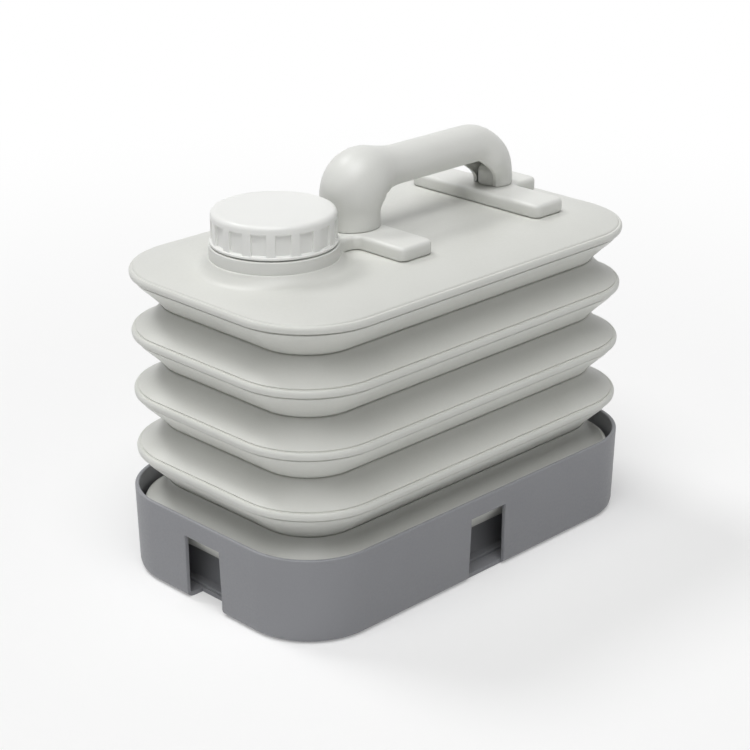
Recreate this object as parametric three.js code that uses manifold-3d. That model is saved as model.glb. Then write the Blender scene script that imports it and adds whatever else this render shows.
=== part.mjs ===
// Collapsible water carrier, in millimetres, +Z up.
// A bellows tank of five folds stands in a grey base tray. The lid carries a threaded neck with a
// screw cap and a handle on two cross plates. The origin lies on the ground under the middle of the
// tray, and +X runs along the tank from the cap end, called the front, to the far end, the rear.

import * as THREE from 'three';
import { mergeVertices } from 'three/addons/utils/BufferGeometryUtils.js';
import Module from 'manifold-3d';

const wasm = await Module();
wasm.setup();

// Clearances and overruns
const SEAT_GAP = 0.3; // between a piece and what it rests on
const FIT_GAP = 0.3; // round a peg, sleeve or shank in its hole
const OVERRUN = 2; // how far a cutter passes the face that it cuts

// Base tray
const TRAY_LENGTH = 320;
const TRAY_WIDTH = 192;
const TRAY_CORNER = 49;
const TRAY_HEIGHT = 57.5;
const TRAY_WALL = 2.8;
const TRAY_FLOOR = 3;
const TRAY_DRAFT = 1.3; // how far the foot of the wall stands in from its rim
const TRAY_FOOT_FILLET = 5.5;
const TRAY_RIM_ROUND = 0.8;
const GUTTER_STEP_INSET = 15; // from the rim outline to the step in the gutter
const GUTTER_STEP_RISE = 1.8;
const PLINTH_INSET = 21;
const PLINTH_DRAFT = 2.5;
const PLINTH_RISE = 20; // above the floor
const NOTCH_TOP = 44.5; // above the ground
const NOTCH_WIDTH = 32;
const NOTCH_FLARE = 0.8; // each jamb leans out by this much down to the ground
const LONG_NOTCH_DEPTH = 4.6; // cuts the wall alone
const SHORT_NOTCH_DEPTH = 14; // cuts the wall and the edge of the floor

// Bellows tank
const FOLD_COUNT = 5;
const FOLD_PITCH = 39.3;
const FOLD_DEPTH = 19.5; // from the crest in to the trough
const LOWER_FACE_HEIGHT = 19.3; // the steep face under a crest
const CREST_SETBACK = 0.5; // from the rim outline of the tray in to the crests
const CREST_CORNER = 53.5;
const BASE_CREST_HEIGHT = 42.4; // parting line of the lowest fold above the ground
const BASE_CREST_CLEARANCE = 0.8; // between the lowest fold and the wall of the tray
const BEAD_HEIGHT = 5.3;
const BEAD_THICKNESS = 3;
const BEAD_UNDERCUT = 1;
const GROOVE_DEPTH = 1.6;
const TANK_WALL = 1.8; // square to a fold's face
const WEB_ACROSS = 2.5; // the same wall measured level, on a face that slopes
const TANK_FLOOR_CORNER = 4;

// Lid
const LID_WALL = 2.2;
const LID_RISE = 13; // from the parting line to the flat top
const LID_SHOULDER = 44; // how far in the shoulder reaches before the top is flat
const LID_SHOULDER_POWER = 2.3;
const BOSS_MARGIN = 0.8; // the neck boss stands proud of the collar
const BOSS_HEIGHT = 3; // above the flat top
const BOSS_DROP = 3.8; // below the flat top, under the wall
const PAD_RISE = 0.6; // the pads under the cross plates
const PAD_MARGIN = 0.6;
const PAD_ROOT = 2.6; // how far a pad reaches down into the lid
const STUD_RADIUS = 3.5;
const STUD_HEIGHT = 4.5;
const STUD_SETBACK = 17; // from the end of a cross plate to its stud

// Neck, with its thread
const NECK_SETBACK = 66; // from the front end of the tray to the middle of the neck
const NECK_BORE = 30;
const NECK_WALL = 3.2;
const SLEEVE_STEP = 1.8; // how much wider the sleeve in the lid is than the neck over it
const COLLAR_REACH = 0.7; // past the foot of the cap
const COLLAR_HEIGHT = 9.8;
const COLLAR_ROUND = 1;
const NECK_TUBE_HEIGHT = 17.3; // above the collar
const FLANGE_REACH = 3; // past the sleeve, inside the tank
const FLANGE_THICKNESS = 2.4;
const THREAD_PITCH = 5;
const THREAD_HEIGHT = 1.6;
const THREAD_ROOT_WIDTH = 2.4;
const THREAD_CREST_WIDTH = 1.2;
const THREAD_BITE = 0.4; // how far a thread is sunk into its wall
const NECK_THREAD_TURNS = 1.5;
const NECK_THREAD_START = 4.5; // middle of the thread's first turn above the collar
const CAP_THREAD_TURNS = 1.35;

// Screw cap and its liner
const CAP_GAP = 1.6; // between the collar and the cap
const CAP_HEIGHT = 20;
const CAP_CLEARANCE = 0.5; // between the crest of the neck's thread and the cap
const CAP_WALL = 2.2;
const CAP_TOP = 2.2;
const CAP_EDGE_ROUND = 2.2;
const CAP_BAND = 3.4; // plain band under the top edge
const CAP_FOOT_REACH = 0.9; // past the ribs
const CAP_FOOT_HEIGHT = 1.6;
const CAP_RIBS = 16;
const CAP_RIB_WIDTH = 5.7;
const CAP_RIB_HEIGHT = 0.9;
const LINER_CLEARANCE = 0.7; // between the liner and the wall of the cap

// Cross plates
const PLATE_THICKNESS = 8.5;
const PLATE_WIDTH = 28;
const PLATE_SETBACK = 39; // from the side of the tray to the end of a plate
const PLATE_CORNER = 3;
const PLATE_BEVEL = 1.2;
const FRONT_TAB_WIDTH = 35;
const REAR_TAB_WIDTH = 25.6;
const REAR_TAB_REACH = 24;
const FRONT_PLATE_DISTANCE = 67; // from the middle of the neck to the middle of the plate
const REAR_PLATE_SETBACK = 62.5; // from the rear end of the tray to the middle of the plate
const SPIGOT_RADIUS = 6;
const SPIGOT_HEIGHT = 9;

// Handle
const GRIP_AXIS_RISE = 30.5; // from the top of the plates to the middle of the grip
const GRIP_RADIUS = 13.7;
const FRONT_LEG_OFFSET = -2.6; // from the middle of its plate
const REAR_LEG_OFFSET = 6.5;
const FRONT_BEND = 20;
const REAR_BEND = 28;
const FRONT_SWELL = 2; // how much fatter the handle grows halfway round its front bend
const FRONT_FOOT_RADIUS = 18.4;
const FRONT_SHOULDER_RADIUS = 18.6;
const REAR_SHOULDER_RADIUS = 13;
const REAR_FOOT_RADIUS = 13;
const GRIP_TAPER = 20; // length over which the front shoulder thins to the grip

// Screws that hold the handle
const SCREW_HEAD_RADIUS = 4.6;
const SCREW_HEAD_HEIGHT = 2.6;
const SCREW_SHANK_RADIUS = 2.2;
const SCREW_REACH = 8; // past the top of the spigot

// Fineness of the faceted shapes
const CORNER_STEPS = 6;
const ROUND_STEPS = 40;
const BEND_STEPS = 6;
const FILLET_STEPS = 3;
const GRIP_SIDES = 14;
const PEG_SIDES = 16;

// Places and radii that follow from the sizes above
const NECK_X = NECK_SETBACK - TRAY_LENGTH / 2;
const FRONT_PLATE_X = NECK_X + FRONT_PLATE_DISTANCE;
const REAR_PLATE_X = TRAY_LENGTH / 2 - REAR_PLATE_SETBACK;
const FRONT_LEG_X = FRONT_PLATE_X + FRONT_LEG_OFFSET;
const REAR_LEG_X = REAR_PLATE_X + REAR_LEG_OFFSET;
const PLATE_LENGTH = TRAY_WIDTH - 2 * PLATE_SETBACK;
const STUD_SPREAD = PLATE_LENGTH / 2 - STUD_SETBACK;
const NECK_RADIUS = NECK_BORE + NECK_WALL;
const SLEEVE_RADIUS = NECK_RADIUS + SLEEVE_STEP;
const FLANGE_RADIUS = SLEEVE_RADIUS + FLANGE_REACH;
const CAP_INSIDE = NECK_RADIUS + THREAD_HEIGHT + CAP_CLEARANCE;
const CAP_RADIUS = CAP_INSIDE + CAP_WALL + CAP_RIB_HEIGHT;
const CAP_FOOT_RADIUS = CAP_RADIUS + CAP_FOOT_REACH;
const COLLAR_RADIUS = CAP_FOOT_RADIUS + COLLAR_REACH;
const LINER_RADIUS = CAP_INSIDE - LINER_CLEARANCE;

// Heights that follow from them
const PLINTH_TOP = TRAY_FLOOR + PLINTH_RISE;
const TANK_BOTTOM = PLINTH_TOP + SEAT_GAP;
const TOP_CREST_HEIGHT = BASE_CREST_HEIGHT + (FOLD_COUNT - 1) * FOLD_PITCH;
const LID_TOP = TOP_CREST_HEIGHT + LID_RISE;
const BOSS_TOP = LID_TOP + BOSS_HEIGHT;
const BOSS_BOTTOM = LID_TOP - BOSS_DROP;
const COLLAR_BOTTOM = BOSS_TOP + SEAT_GAP;
const COLLAR_TOP = COLLAR_BOTTOM + COLLAR_HEIGHT;
const NECK_TOP = COLLAR_TOP + NECK_TUBE_HEIGHT;
const CAP_BOTTOM = COLLAR_TOP + CAP_GAP;
const CAP_UNDERSIDE = CAP_BOTTOM + CAP_HEIGHT - CAP_TOP;
const PAD_TOP = LID_TOP + PAD_RISE;
const PLATE_BOTTOM = PAD_TOP + SEAT_GAP;
const PLATE_TOP = PLATE_BOTTOM + PLATE_THICKNESS;
const GRIP_AXIS_HEIGHT = PLATE_TOP + GRIP_AXIS_RISE;
const BASE_WALL_INSET = TRAY_WALL + trayInset(BASE_CREST_HEIGHT);
const BASE_INSET = BASE_WALL_INSET + BASE_CREST_CLEARANCE - CREST_SETBACK;

// Outlines that the rings of the tray and of the tank are set in from
const TRAY_OUTLINE = { length: TRAY_LENGTH, width: TRAY_WIDTH, corner: TRAY_CORNER };
const CREST_OUTLINE = {
  length: TRAY_LENGTH - 2 * CREST_SETBACK,
  width: TRAY_WIDTH - 2 * CREST_SETBACK,
  corner: CREST_CORNER,
};

// Shares of the fold's depth and height, from the groove of a crest up and in to the trough
const UPPER_FACE_SHARES = [[0, 0], [0.36, 0.24], [0.72, 0.58], [0.95, 0.88]];
// and from the trough up and out to the next crest
const LOWER_FACE_SHARES = [[1, 0.06], [0.9, 0.2], [0.5, 0.58], [0, 1]];
// Shares of the lid's shoulder at which it gets a ring
const SHOULDER_SHARES = [0, 0.05, 0.13, 0.25, 0.42, 0.66, 1];
// Shares of a bead's height between which it stands out furthest
const BEAD_FACE_SHARES = [0.25, 0.65];
// Shares of the tank's floor corner, from the floor in to the steep face
const FLOOR_CORNER_SHARES = [[1, 0], [0.32, 0.1], [0, 0.35]];
// Share of the cap's edge round at which its bevel turns
const CAP_EDGE_SHARE = 0.3;
// Shares of a thread: what is left of its height at the very end, and of a turn in which it runs out
const THREAD_END_SHARE = 0.05;
const THREAD_RUNOUT_SHARE = 0.1;
// Share of a turn by which the cap's thread starts after the neck's
const CAP_THREAD_START_SHARE = 0.5;

const TANK_LOOK = { color: 0xd6d7d2, roughness: 0.45, metalness: 0 };
const FITTING_LOOK = { color: 0xd9dad5, roughness: 0.4, metalness: 0 };
const TRAY_LOOK = { color: 0x7e7f83, roughness: 0.5, metalness: 0 };
const LINER_LOOK = { color: 0xc9cac8, roughness: 0.7, metalness: 0 };
const SCREW_LOOK = { color: 0xa9abae, roughness: 0.35, metalness: 1 };

// A rounded rectangle at one height, set in from an outline
function ringOf(outline, inset, height) {
  const corner = outline.corner - inset;
  const halfLength = outline.length / 2 - outline.corner;
  const halfWidth = outline.width / 2 - outline.corner;
  const points = [];
  for (let quarter = 0; quarter < 4; quarter += 1) {
    const centreX = quarter === 0 || quarter === 3 ? halfLength : -halfLength;
    const centreY = quarter < 2 ? halfWidth : -halfWidth;
    for (let step = 0; step <= CORNER_STEPS; step += 1) {
      const angle = (quarter + step / CORNER_STEPS) * Math.PI / 2;
      const x = centreX + corner * Math.cos(angle);
      const y = centreY + corner * Math.sin(angle);
      points.push(new THREE.Vector3(x, y, height));
    }
  }
  return points;
}

// Rings of an outline for a list of [inset, height] points
function ringsOf(outline, profile) {
  return profile.map(([inset, height]) => ringOf(outline, inset, height));
}

// Turns a geometry's faces to the outside by the sign of its volume
function facedOutward(geometry) {
  const points = geometry.attributes.position;
  const index = geometry.index;
  const a = new THREE.Vector3();
  const b = new THREE.Vector3();
  const c = new THREE.Vector3();
  let volume = 0;
  for (let face = 0; face < index.count; face += 3) {
    a.fromBufferAttribute(points, index.getX(face));
    b.fromBufferAttribute(points, index.getX(face + 1));
    c.fromBufferAttribute(points, index.getX(face + 2));
    volume += a.dot(b.cross(c));
  }
  if (volume < 0) {
    for (let face = 0; face < index.count; face += 3) {
      const first = index.getX(face);
      index.setX(face, index.getX(face + 1));
      index.setX(face + 1, first);
    }
  }
  geometry.computeVertexNormals();
  return geometry;
}

// Skins a row of rings with equal counts. A closed row joins its last ring to its first, and an
// open row gets a flat cap at each end.
function loft(rings, closed) {
  const count = rings[0].length;
  const points = rings.flat();
  const index = [];
  const spans = closed ? rings.length : rings.length - 1;
  for (let row = 0; row < spans; row += 1) {
    const lower = row * count;
    const upper = ((row + 1) % rings.length) * count;
    for (let side = 0; side < count; side += 1) {
      const next = (side + 1) % count;
      index.push(lower + side, lower + next, upper + next);
      index.push(lower + side, upper + next, upper + side);
    }
  }
  if (!closed) {
    for (const [row, turn] of [[0, 1], [rings.length - 1, 0]]) {
      const middle = new THREE.Vector3();
      rings[row].forEach((point) => middle.addScaledVector(point, 1 / count));
      const hub = points.push(middle) - 1;
      for (let side = 0; side < count; side += 1) {
        const near = row * count + (side + turn) % count;
        const far = row * count + (side + 1 - turn) % count;
        index.push(hub, near, far);
      }
    }
  }
  const geometry = new THREE.BufferGeometry().setFromPoints(points);
  geometry.setIndex(index);
  return facedOutward(geometry);
}

// A round solid about the Z axis from a list of [radius, height] points
function turned(profile, steps = ROUND_STEPS) {
  const points = profile.map(([radius, height]) => new THREE.Vector2(radius, height));
  const geometry = new THREE.LatheGeometry(points, steps);
  return geometry.rotateX(Math.PI / 2);
}

// A plain upright cylinder between two heights
function peg(radius, low, high, x, y, sides = PEG_SIDES) {
  const geometry = new THREE.CylinderGeometry(radius, radius, high - low, sides);
  geometry.rotateX(Math.PI / 2);
  return geometry.translate(x, y, (low + high) / 2);
}

// A geometry as a solid that can be joined and cut
function solidOf(geometry) {
  const bare = geometry.clone();
  bare.deleteAttribute('normal');
  bare.deleteAttribute('uv');
  const merged = mergeVertices(bare);
  const index = merged.index.array;
  const kept = [];
  for (let face = 0; face < index.length; face += 3) {
    const [a, b, c] = [index[face], index[face + 1], index[face + 2]];
    if (a !== b && b !== c && c !== a) kept.push(a, b, c);
  }
  const faced = new THREE.BufferGeometry();
  faced.setAttribute('position', merged.attributes.position);
  faced.setIndex(kept);
  facedOutward(faced);
  return new wasm.Manifold(new wasm.Mesh({
    numProp: 3,
    vertProperties: new Float32Array(faced.attributes.position.array),
    triVerts: new Uint32Array(faced.index.array),
  }));
}

// A joined or cut solid back as a geometry
function geometryOf(solid) {
  const mesh = solid.getMesh();
  const geometry = new THREE.BufferGeometry();
  geometry.setAttribute('position', new THREE.BufferAttribute(mesh.vertProperties, 3));
  geometry.setIndex(new THREE.BufferAttribute(mesh.triVerts, 1));
  geometry.computeVertexNormals();
  return geometry;
}

// Joins the geometries in one list and cuts away those in another
function combined(joined, cutters = []) {
  let solid = solidOf(joined[0]);
  joined.slice(1).forEach((piece) => {
    solid = solid.add(solidOf(piece));
  });
  cutters.forEach((cutter) => {
    solid = solid.subtract(solidOf(cutter));
  });
  return geometryOf(solid);
}

function named(name, geometry, look) {
  const mesh = new THREE.Mesh(geometry, new THREE.MeshStandardMaterial(look));
  mesh.name = name;
  return mesh;
}

// How far the outside of the tray stands in from its rim at a height
function trayInset(height) {
  return TRAY_DRAFT * (1 - height / TRAY_HEIGHT);
}

// One notch cutter, as wide at the ground as its flare makes it, seen along the wall's normal
function notchCutter(depth) {
  const low = -OVERRUN;
  const spread = NOTCH_WIDTH / 2 + NOTCH_FLARE;
  const shape = new THREE.Shape();
  shape.moveTo(-spread, low);
  shape.lineTo(spread, low);
  shape.lineTo(NOTCH_WIDTH / 2, NOTCH_TOP);
  shape.lineTo(-NOTCH_WIDTH / 2, NOTCH_TOP);
  shape.closePath();
  const geometry = new THREE.ExtrudeGeometry(shape, { depth: depth + OVERRUN, bevelEnabled: false });
  geometry.rotateX(Math.PI / 2);
  return geometry.translate(0, depth, 0);
}

function makeTray() {
  const footInset = trayInset(0);
  const profile = [
    [PLINTH_INSET + TRAY_WALL + PLINTH_DRAFT, PLINTH_TOP - TRAY_FLOOR],
    [PLINTH_INSET + TRAY_WALL, 0],
    [footInset + TRAY_FOOT_FILLET, 0],
  ];
  for (let step = 1; step <= FILLET_STEPS; step += 1) {
    const angle = step / FILLET_STEPS * Math.PI / 2;
    const height = TRAY_FOOT_FILLET * (1 - Math.cos(angle));
    const inset = trayInset(height) + TRAY_FOOT_FILLET * (1 - Math.sin(angle));
    profile.push([inset, height]);
  }
  profile.push(
    [trayInset(TRAY_HEIGHT - TRAY_RIM_ROUND), TRAY_HEIGHT - TRAY_RIM_ROUND],
    [TRAY_RIM_ROUND, TRAY_HEIGHT],
    [TRAY_WALL - TRAY_RIM_ROUND, TRAY_HEIGHT],
    [TRAY_WALL, TRAY_HEIGHT - TRAY_RIM_ROUND],
    [trayInset(TRAY_FLOOR) + TRAY_WALL, TRAY_FLOOR],
    [GUTTER_STEP_INSET, TRAY_FLOOR],
    [GUTTER_STEP_INSET, TRAY_FLOOR + GUTTER_STEP_RISE],
    [PLINTH_INSET, TRAY_FLOOR + GUTTER_STEP_RISE],
    [PLINTH_INSET + PLINTH_DRAFT, PLINTH_TOP],
  );
  const shell = loft(ringsOf(TRAY_OUTLINE, profile), false);
  const cutters = [];
  for (const side of [0, 1]) {
    const turn = side * Math.PI;
    const long = notchCutter(LONG_NOTCH_DEPTH).translate(0, -TRAY_WIDTH / 2, 0);
    const short = notchCutter(SHORT_NOTCH_DEPTH).translate(0, -TRAY_LENGTH / 2, 0);
    cutters.push(long.rotateZ(turn), short.rotateZ(turn + Math.PI / 2));
  }
  return combined([shell], cutters);
}

// Outer profile of a crest bead, from its parting line up to the groove
function beadProfile(inset, height) {
  return [
    [inset + BEAD_UNDERCUT, height],
    ...BEAD_FACE_SHARES.map((share) => [inset, height + BEAD_HEIGHT * share]),
    [inset + GROOVE_DEPTH, height + BEAD_HEIGHT],
  ];
}

// Height of the parting line of a fold, numbered from 1 at the lid down to FOLD_COUNT at the base
function crestHeight(fold) {
  return TOP_CREST_HEIGHT - (fold - 1) * FOLD_PITCH;
}

function crestInset(fold) {
  return fold === FOLD_COUNT ? BASE_INSET : 0;
}

function makeCrest(fold) {
  const outer = beadProfile(0, crestHeight(fold));
  const inner = [
    [GROOVE_DEPTH + BEAD_THICKNESS, crestHeight(fold) + BEAD_HEIGHT],
    [GROOVE_DEPTH + BEAD_THICKNESS, crestHeight(fold)],
  ];
  return loft(ringsOf(CREST_OUTLINE, [...outer, ...inner]), true);
}

// The flexing wall between the crest of one fold and the crest of the fold under it
function makeWeb(fold) {
  const low = crestHeight(fold + 1) + BEAD_HEIGHT + SEAT_GAP;
  const high = crestHeight(fold) - SEAT_GAP;
  const trough = crestHeight(fold) - LOWER_FACE_HEIGHT;
  const lowInset = crestInset(fold + 1) + GROOVE_DEPTH;
  const highInset = crestInset(fold) + BEAD_UNDERCUT;
  const outer = [];
  UPPER_FACE_SHARES.forEach(([depthShare, heightShare]) => {
    const inset = lowInset + (FOLD_DEPTH - lowInset) * depthShare;
    outer.push([inset, low + (trough - low) * heightShare]);
  });
  LOWER_FACE_SHARES.forEach(([depthShare, heightShare]) => {
    const inset = highInset + (FOLD_DEPTH - highInset) * depthShare;
    outer.push([inset, trough + (high - trough) * heightShare]);
  });
  const inner = outer.map(([inset, height]) => [inset + WEB_ACROSS, height]).reverse();
  return loft(ringsOf(CREST_OUTLINE, [...outer, ...inner]), true);
}

// The lowest fold with the floor of the tank
function makeBase() {
  const crest = crestHeight(FOLD_COUNT);
  const bead = beadProfile(BASE_INSET, crest);
  const cornerAt = (inset, height) => FLOOR_CORNER_SHARES.map(([inShare, upShare]) => (
    [inset + TANK_FLOOR_CORNER * inShare, height + TANK_FLOOR_CORNER * upShare]
  ));
  const profile = [
    ...cornerAt(FOLD_DEPTH, TANK_BOTTOM),
    ...bead,
    [BASE_INSET + GROOVE_DEPTH + BEAD_THICKNESS, crest + BEAD_HEIGHT],
    [BASE_INSET + GROOVE_DEPTH + BEAD_THICKNESS, crest],
    ...cornerAt(FOLD_DEPTH + WEB_ACROSS, TANK_BOTTOM + TANK_WALL).reverse(),
  ];
  return loft(ringsOf(CREST_OUTLINE, profile), false);
}

// Height of the lid's outside at a distance in from the groove
function shoulderHeight(run) {
  const share = Math.min(run / LID_SHOULDER, 1);
  const groove = TOP_CREST_HEIGHT + BEAD_HEIGHT;
  return groove + (LID_TOP - groove) * (1 - (1 - share) ** LID_SHOULDER_POWER);
}

// Outline of a cross plate in plan, about its own middle, with its tab along +X
function plateShape(plate, margin) {
  const x = PLATE_WIDTH / 2 - margin;
  const y = PLATE_LENGTH / 2 - margin;
  const tab = plate.tabWidth / 2 - margin;
  const reach = PLATE_WIDTH / 2 + plate.tabReach - margin;
  const shape = new THREE.Shape();
  shape.moveTo(-x + PLATE_CORNER, -y);
  shape.lineTo(x - PLATE_CORNER, -y);
  shape.quadraticCurveTo(x, -y, x, -y + PLATE_CORNER);
  shape.lineTo(x, -tab);
  shape.lineTo(reach - PLATE_CORNER, -tab);
  shape.quadraticCurveTo(reach, -tab, reach, -tab + PLATE_CORNER);
  shape.lineTo(reach, tab - PLATE_CORNER);
  shape.quadraticCurveTo(reach, tab, reach - PLATE_CORNER, tab);
  shape.lineTo(x, tab);
  shape.lineTo(x, y - PLATE_CORNER);
  shape.quadraticCurveTo(x, y, x - PLATE_CORNER, y);
  shape.lineTo(-x + PLATE_CORNER, y);
  shape.quadraticCurveTo(-x, y, -x, y - PLATE_CORNER);
  shape.lineTo(-x, -y + PLATE_CORNER);
  shape.quadraticCurveTo(-x, -y, -x + PLATE_CORNER, -y);
  return shape;
}

// The two cross plates: where each stands, which way its tab points and how far it reaches
const FRONT_TAB_REACH = FRONT_PLATE_X - PLATE_WIDTH / 2 - NECK_X - COLLAR_RADIUS + OVERRUN;
const PLATES = {
  front: {
    x: FRONT_PLATE_X,
    turn: Math.PI,
    tabWidth: FRONT_TAB_WIDTH,
    tabReach: FRONT_TAB_REACH,
    legX: FRONT_LEG_X,
  },
  rear: {
    x: REAR_PLATE_X,
    turn: 0,
    tabWidth: REAR_TAB_WIDTH,
    tabReach: REAR_TAB_REACH,
    legX: REAR_LEG_X,
  },
};

// A slab with a cross plate's outline between two heights
function plateSlab(plate, margin, low, high, bevel) {
  const options = {
    depth: high - low - 2 * bevel,
    bevelEnabled: bevel > 0,
    bevelThickness: bevel,
    bevelSize: bevel,
    bevelOffset: -bevel,
    bevelSegments: 1,
    curveSegments: 3,
  };
  const slab = new THREE.ExtrudeGeometry(plateShape(plate, margin), options);
  slab.translate(0, 0, low + bevel);
  return slab.rotateZ(plate.turn).translate(plate.x, 0, 0);
}

// Clears the neck boss and the collar out of whatever reaches them
function collarCutter(low, high) {
  return peg(COLLAR_RADIUS + BOSS_MARGIN + FIT_GAP, low, high, NECK_X, 0, ROUND_STEPS);
}

function makeLid() {
  const crest = TOP_CREST_HEIGHT;
  const bead = beadProfile(0, crest);
  const shoulder = SHOULDER_SHARES.map((share) => {
    const run = share * LID_SHOULDER;
    return [GROOVE_DEPTH + run, shoulderHeight(run)];
  });
  const inside = SHOULDER_SHARES.slice(2).map((share) => {
    const run = share * LID_SHOULDER;
    return [GROOVE_DEPTH + run, shoulderHeight(run) - LID_WALL];
  });
  const lip = [
    [GROOVE_DEPTH + BEAD_THICKNESS, crest + BEAD_HEIGHT * BEAD_FACE_SHARES[1]],
    [GROOVE_DEPTH + BEAD_THICKNESS, crest],
  ];
  const rings = [...inside.reverse(), ...lip, ...bead, ...shoulder.slice(1)];
  const shell = loft(ringsOf(CREST_OUTLINE, rings), false);
  const joined = [shell, peg(COLLAR_RADIUS + BOSS_MARGIN, BOSS_BOTTOM, BOSS_TOP, NECK_X, 0, ROUND_STEPS)];
  for (const plate of Object.values(PLATES)) {
    joined.push(plateSlab(plate, PAD_MARGIN, LID_TOP - PAD_ROOT, PAD_TOP, 0));
    for (const side of [-STUD_SPREAD, STUD_SPREAD]) {
      joined.push(peg(STUD_RADIUS, LID_TOP - LID_WALL / 2, PAD_TOP + STUD_HEIGHT, plate.x, side));
    }
  }
  const low = BOSS_BOTTOM - OVERRUN;
  const high = BOSS_TOP + OVERRUN;
  return combined(joined, [peg(SLEEVE_RADIUS + FIT_GAP, low, high, NECK_X, 0, ROUND_STEPS)]);
}

// A helical thread of trapezoid section whose ends run out flat, rising as it turns left
function threadRidge(rootRadius, crestRadius, turns, startHeight, startTurn) {
  const steps = Math.round(turns * ROUND_STEPS);
  const runout = ROUND_STEPS * THREAD_RUNOUT_SHARE;
  const sections = [];
  for (let step = 0; step <= steps; step += 1) {
    const turn = startTurn + step / ROUND_STEPS;
    const angle = turn * 2 * Math.PI;
    const rise = Math.max(Math.min(step, steps - step, runout) / runout, THREAD_END_SHARE);
    const crest = rootRadius + (crestRadius - rootRadius) * rise;
    const middle = startHeight + (turn - startTurn) * THREAD_PITCH;
    const section = [
      [rootRadius, -THREAD_ROOT_WIDTH / 2],
      [crest, -THREAD_CREST_WIDTH / 2],
      [crest, THREAD_CREST_WIDTH / 2],
      [rootRadius, THREAD_ROOT_WIDTH / 2],
    ];
    sections.push(section.map(([radius, height]) => (
      new THREE.Vector3(radius * Math.cos(angle), radius * Math.sin(angle), middle + height)
    )));
  }
  return loft(sections, false);
}

function makeNeck() {
  const flangeTop = BOSS_BOTTOM - SEAT_GAP;
  const profile = [
    [NECK_BORE, flangeTop - FLANGE_THICKNESS],
    [FLANGE_RADIUS, flangeTop - FLANGE_THICKNESS],
    [FLANGE_RADIUS, flangeTop],
    [SLEEVE_RADIUS, flangeTop],
    [SLEEVE_RADIUS, COLLAR_BOTTOM],
    [COLLAR_RADIUS, COLLAR_BOTTOM],
    [COLLAR_RADIUS, COLLAR_TOP - COLLAR_ROUND],
    [COLLAR_RADIUS - COLLAR_ROUND, COLLAR_TOP],
    [NECK_RADIUS, COLLAR_TOP],
    [NECK_RADIUS, NECK_TOP],
    [NECK_BORE, NECK_TOP],
    [NECK_BORE, flangeTop - FLANGE_THICKNESS],
  ];
  const start = COLLAR_TOP + NECK_THREAD_START;
  const root = NECK_RADIUS - THREAD_BITE;
  const thread = threadRidge(root, NECK_RADIUS + THREAD_HEIGHT, NECK_THREAD_TURNS, start, 0);
  return combined([turned(profile), thread]).translate(NECK_X, 0, 0);
}

function makeCap() {
  const skirt = CAP_RADIUS - CAP_RIB_HEIGHT;
  const top = CAP_BOTTOM + CAP_HEIGHT;
  const bandBottom = top - CAP_EDGE_ROUND - CAP_BAND;
  const footTop = CAP_BOTTOM + CAP_FOOT_HEIGHT;
  const profile = [
    [0, CAP_UNDERSIDE],
    [CAP_INSIDE, CAP_UNDERSIDE],
    [CAP_INSIDE, CAP_BOTTOM],
    [CAP_FOOT_RADIUS, CAP_BOTTOM],
    [CAP_FOOT_RADIUS, footTop],
    [skirt, footTop],
    [skirt, bandBottom],
    [CAP_RADIUS, bandBottom],
    [CAP_RADIUS, top - CAP_EDGE_ROUND],
    [CAP_RADIUS - CAP_EDGE_ROUND * CAP_EDGE_SHARE, top - CAP_EDGE_ROUND * CAP_EDGE_SHARE],
    [CAP_RADIUS - CAP_EDGE_ROUND, top],
    [0, top],
  ];
  const joined = [turned(profile)];
  for (let rib = 0; rib < CAP_RIBS; rib += 1) {
    const bar = new THREE.BoxGeometry(CAP_WALL, CAP_RIB_WIDTH, bandBottom - footTop + CAP_FOOT_HEIGHT);
    bar.translate(CAP_RADIUS - CAP_WALL / 2, 0, (bandBottom + footTop) / 2);
    joined.push(bar.rotateZ(rib * 2 * Math.PI / CAP_RIBS));
  }
  // The cap's thread lies half a pitch under the neck's, half a turn on
  const start = COLLAR_TOP + NECK_THREAD_START;
  const root = CAP_INSIDE + THREAD_BITE;
  const crest = CAP_INSIDE - THREAD_HEIGHT + FIT_GAP;
  joined.push(threadRidge(root, crest, CAP_THREAD_TURNS, start, CAP_THREAD_START_SHARE));
  return combined(joined).translate(NECK_X, 0, 0);
}

function makeLiner() {
  return peg(LINER_RADIUS, NECK_TOP + SEAT_GAP, CAP_UNDERSIDE - SEAT_GAP, NECK_X, 0, ROUND_STEPS);
}

function makePlate(plate) {
  const slab = plateSlab(plate, 0, PLATE_BOTTOM, PLATE_TOP, PLATE_BEVEL);
  const spigotTop = PLATE_TOP + SPIGOT_HEIGHT;
  const spigot = peg(SPIGOT_RADIUS, PLATE_TOP - OVERRUN, spigotTop, plate.legX, 0);
  const headTop = PLATE_BOTTOM + SCREW_HEAD_HEIGHT + 2 * SEAT_GAP;
  const cutters = [
    collarCutter(PLATE_BOTTOM - OVERRUN, PLATE_TOP + OVERRUN),
    peg(SCREW_HEAD_RADIUS + FIT_GAP, PLATE_BOTTOM - OVERRUN, headTop, plate.legX, 0),
    peg(SCREW_SHANK_RADIUS + FIT_GAP, PLATE_BOTTOM, spigotTop + OVERRUN, plate.legX, 0),
  ];
  for (const side of [-STUD_SPREAD, STUD_SPREAD]) {
    const holeTop = PAD_TOP + STUD_HEIGHT + SEAT_GAP;
    cutters.push(peg(STUD_RADIUS + FIT_GAP, PLATE_BOTTOM - OVERRUN, holeTop, plate.x, side));
  }
  return combined([slab, spigot], cutters);
}

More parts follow.
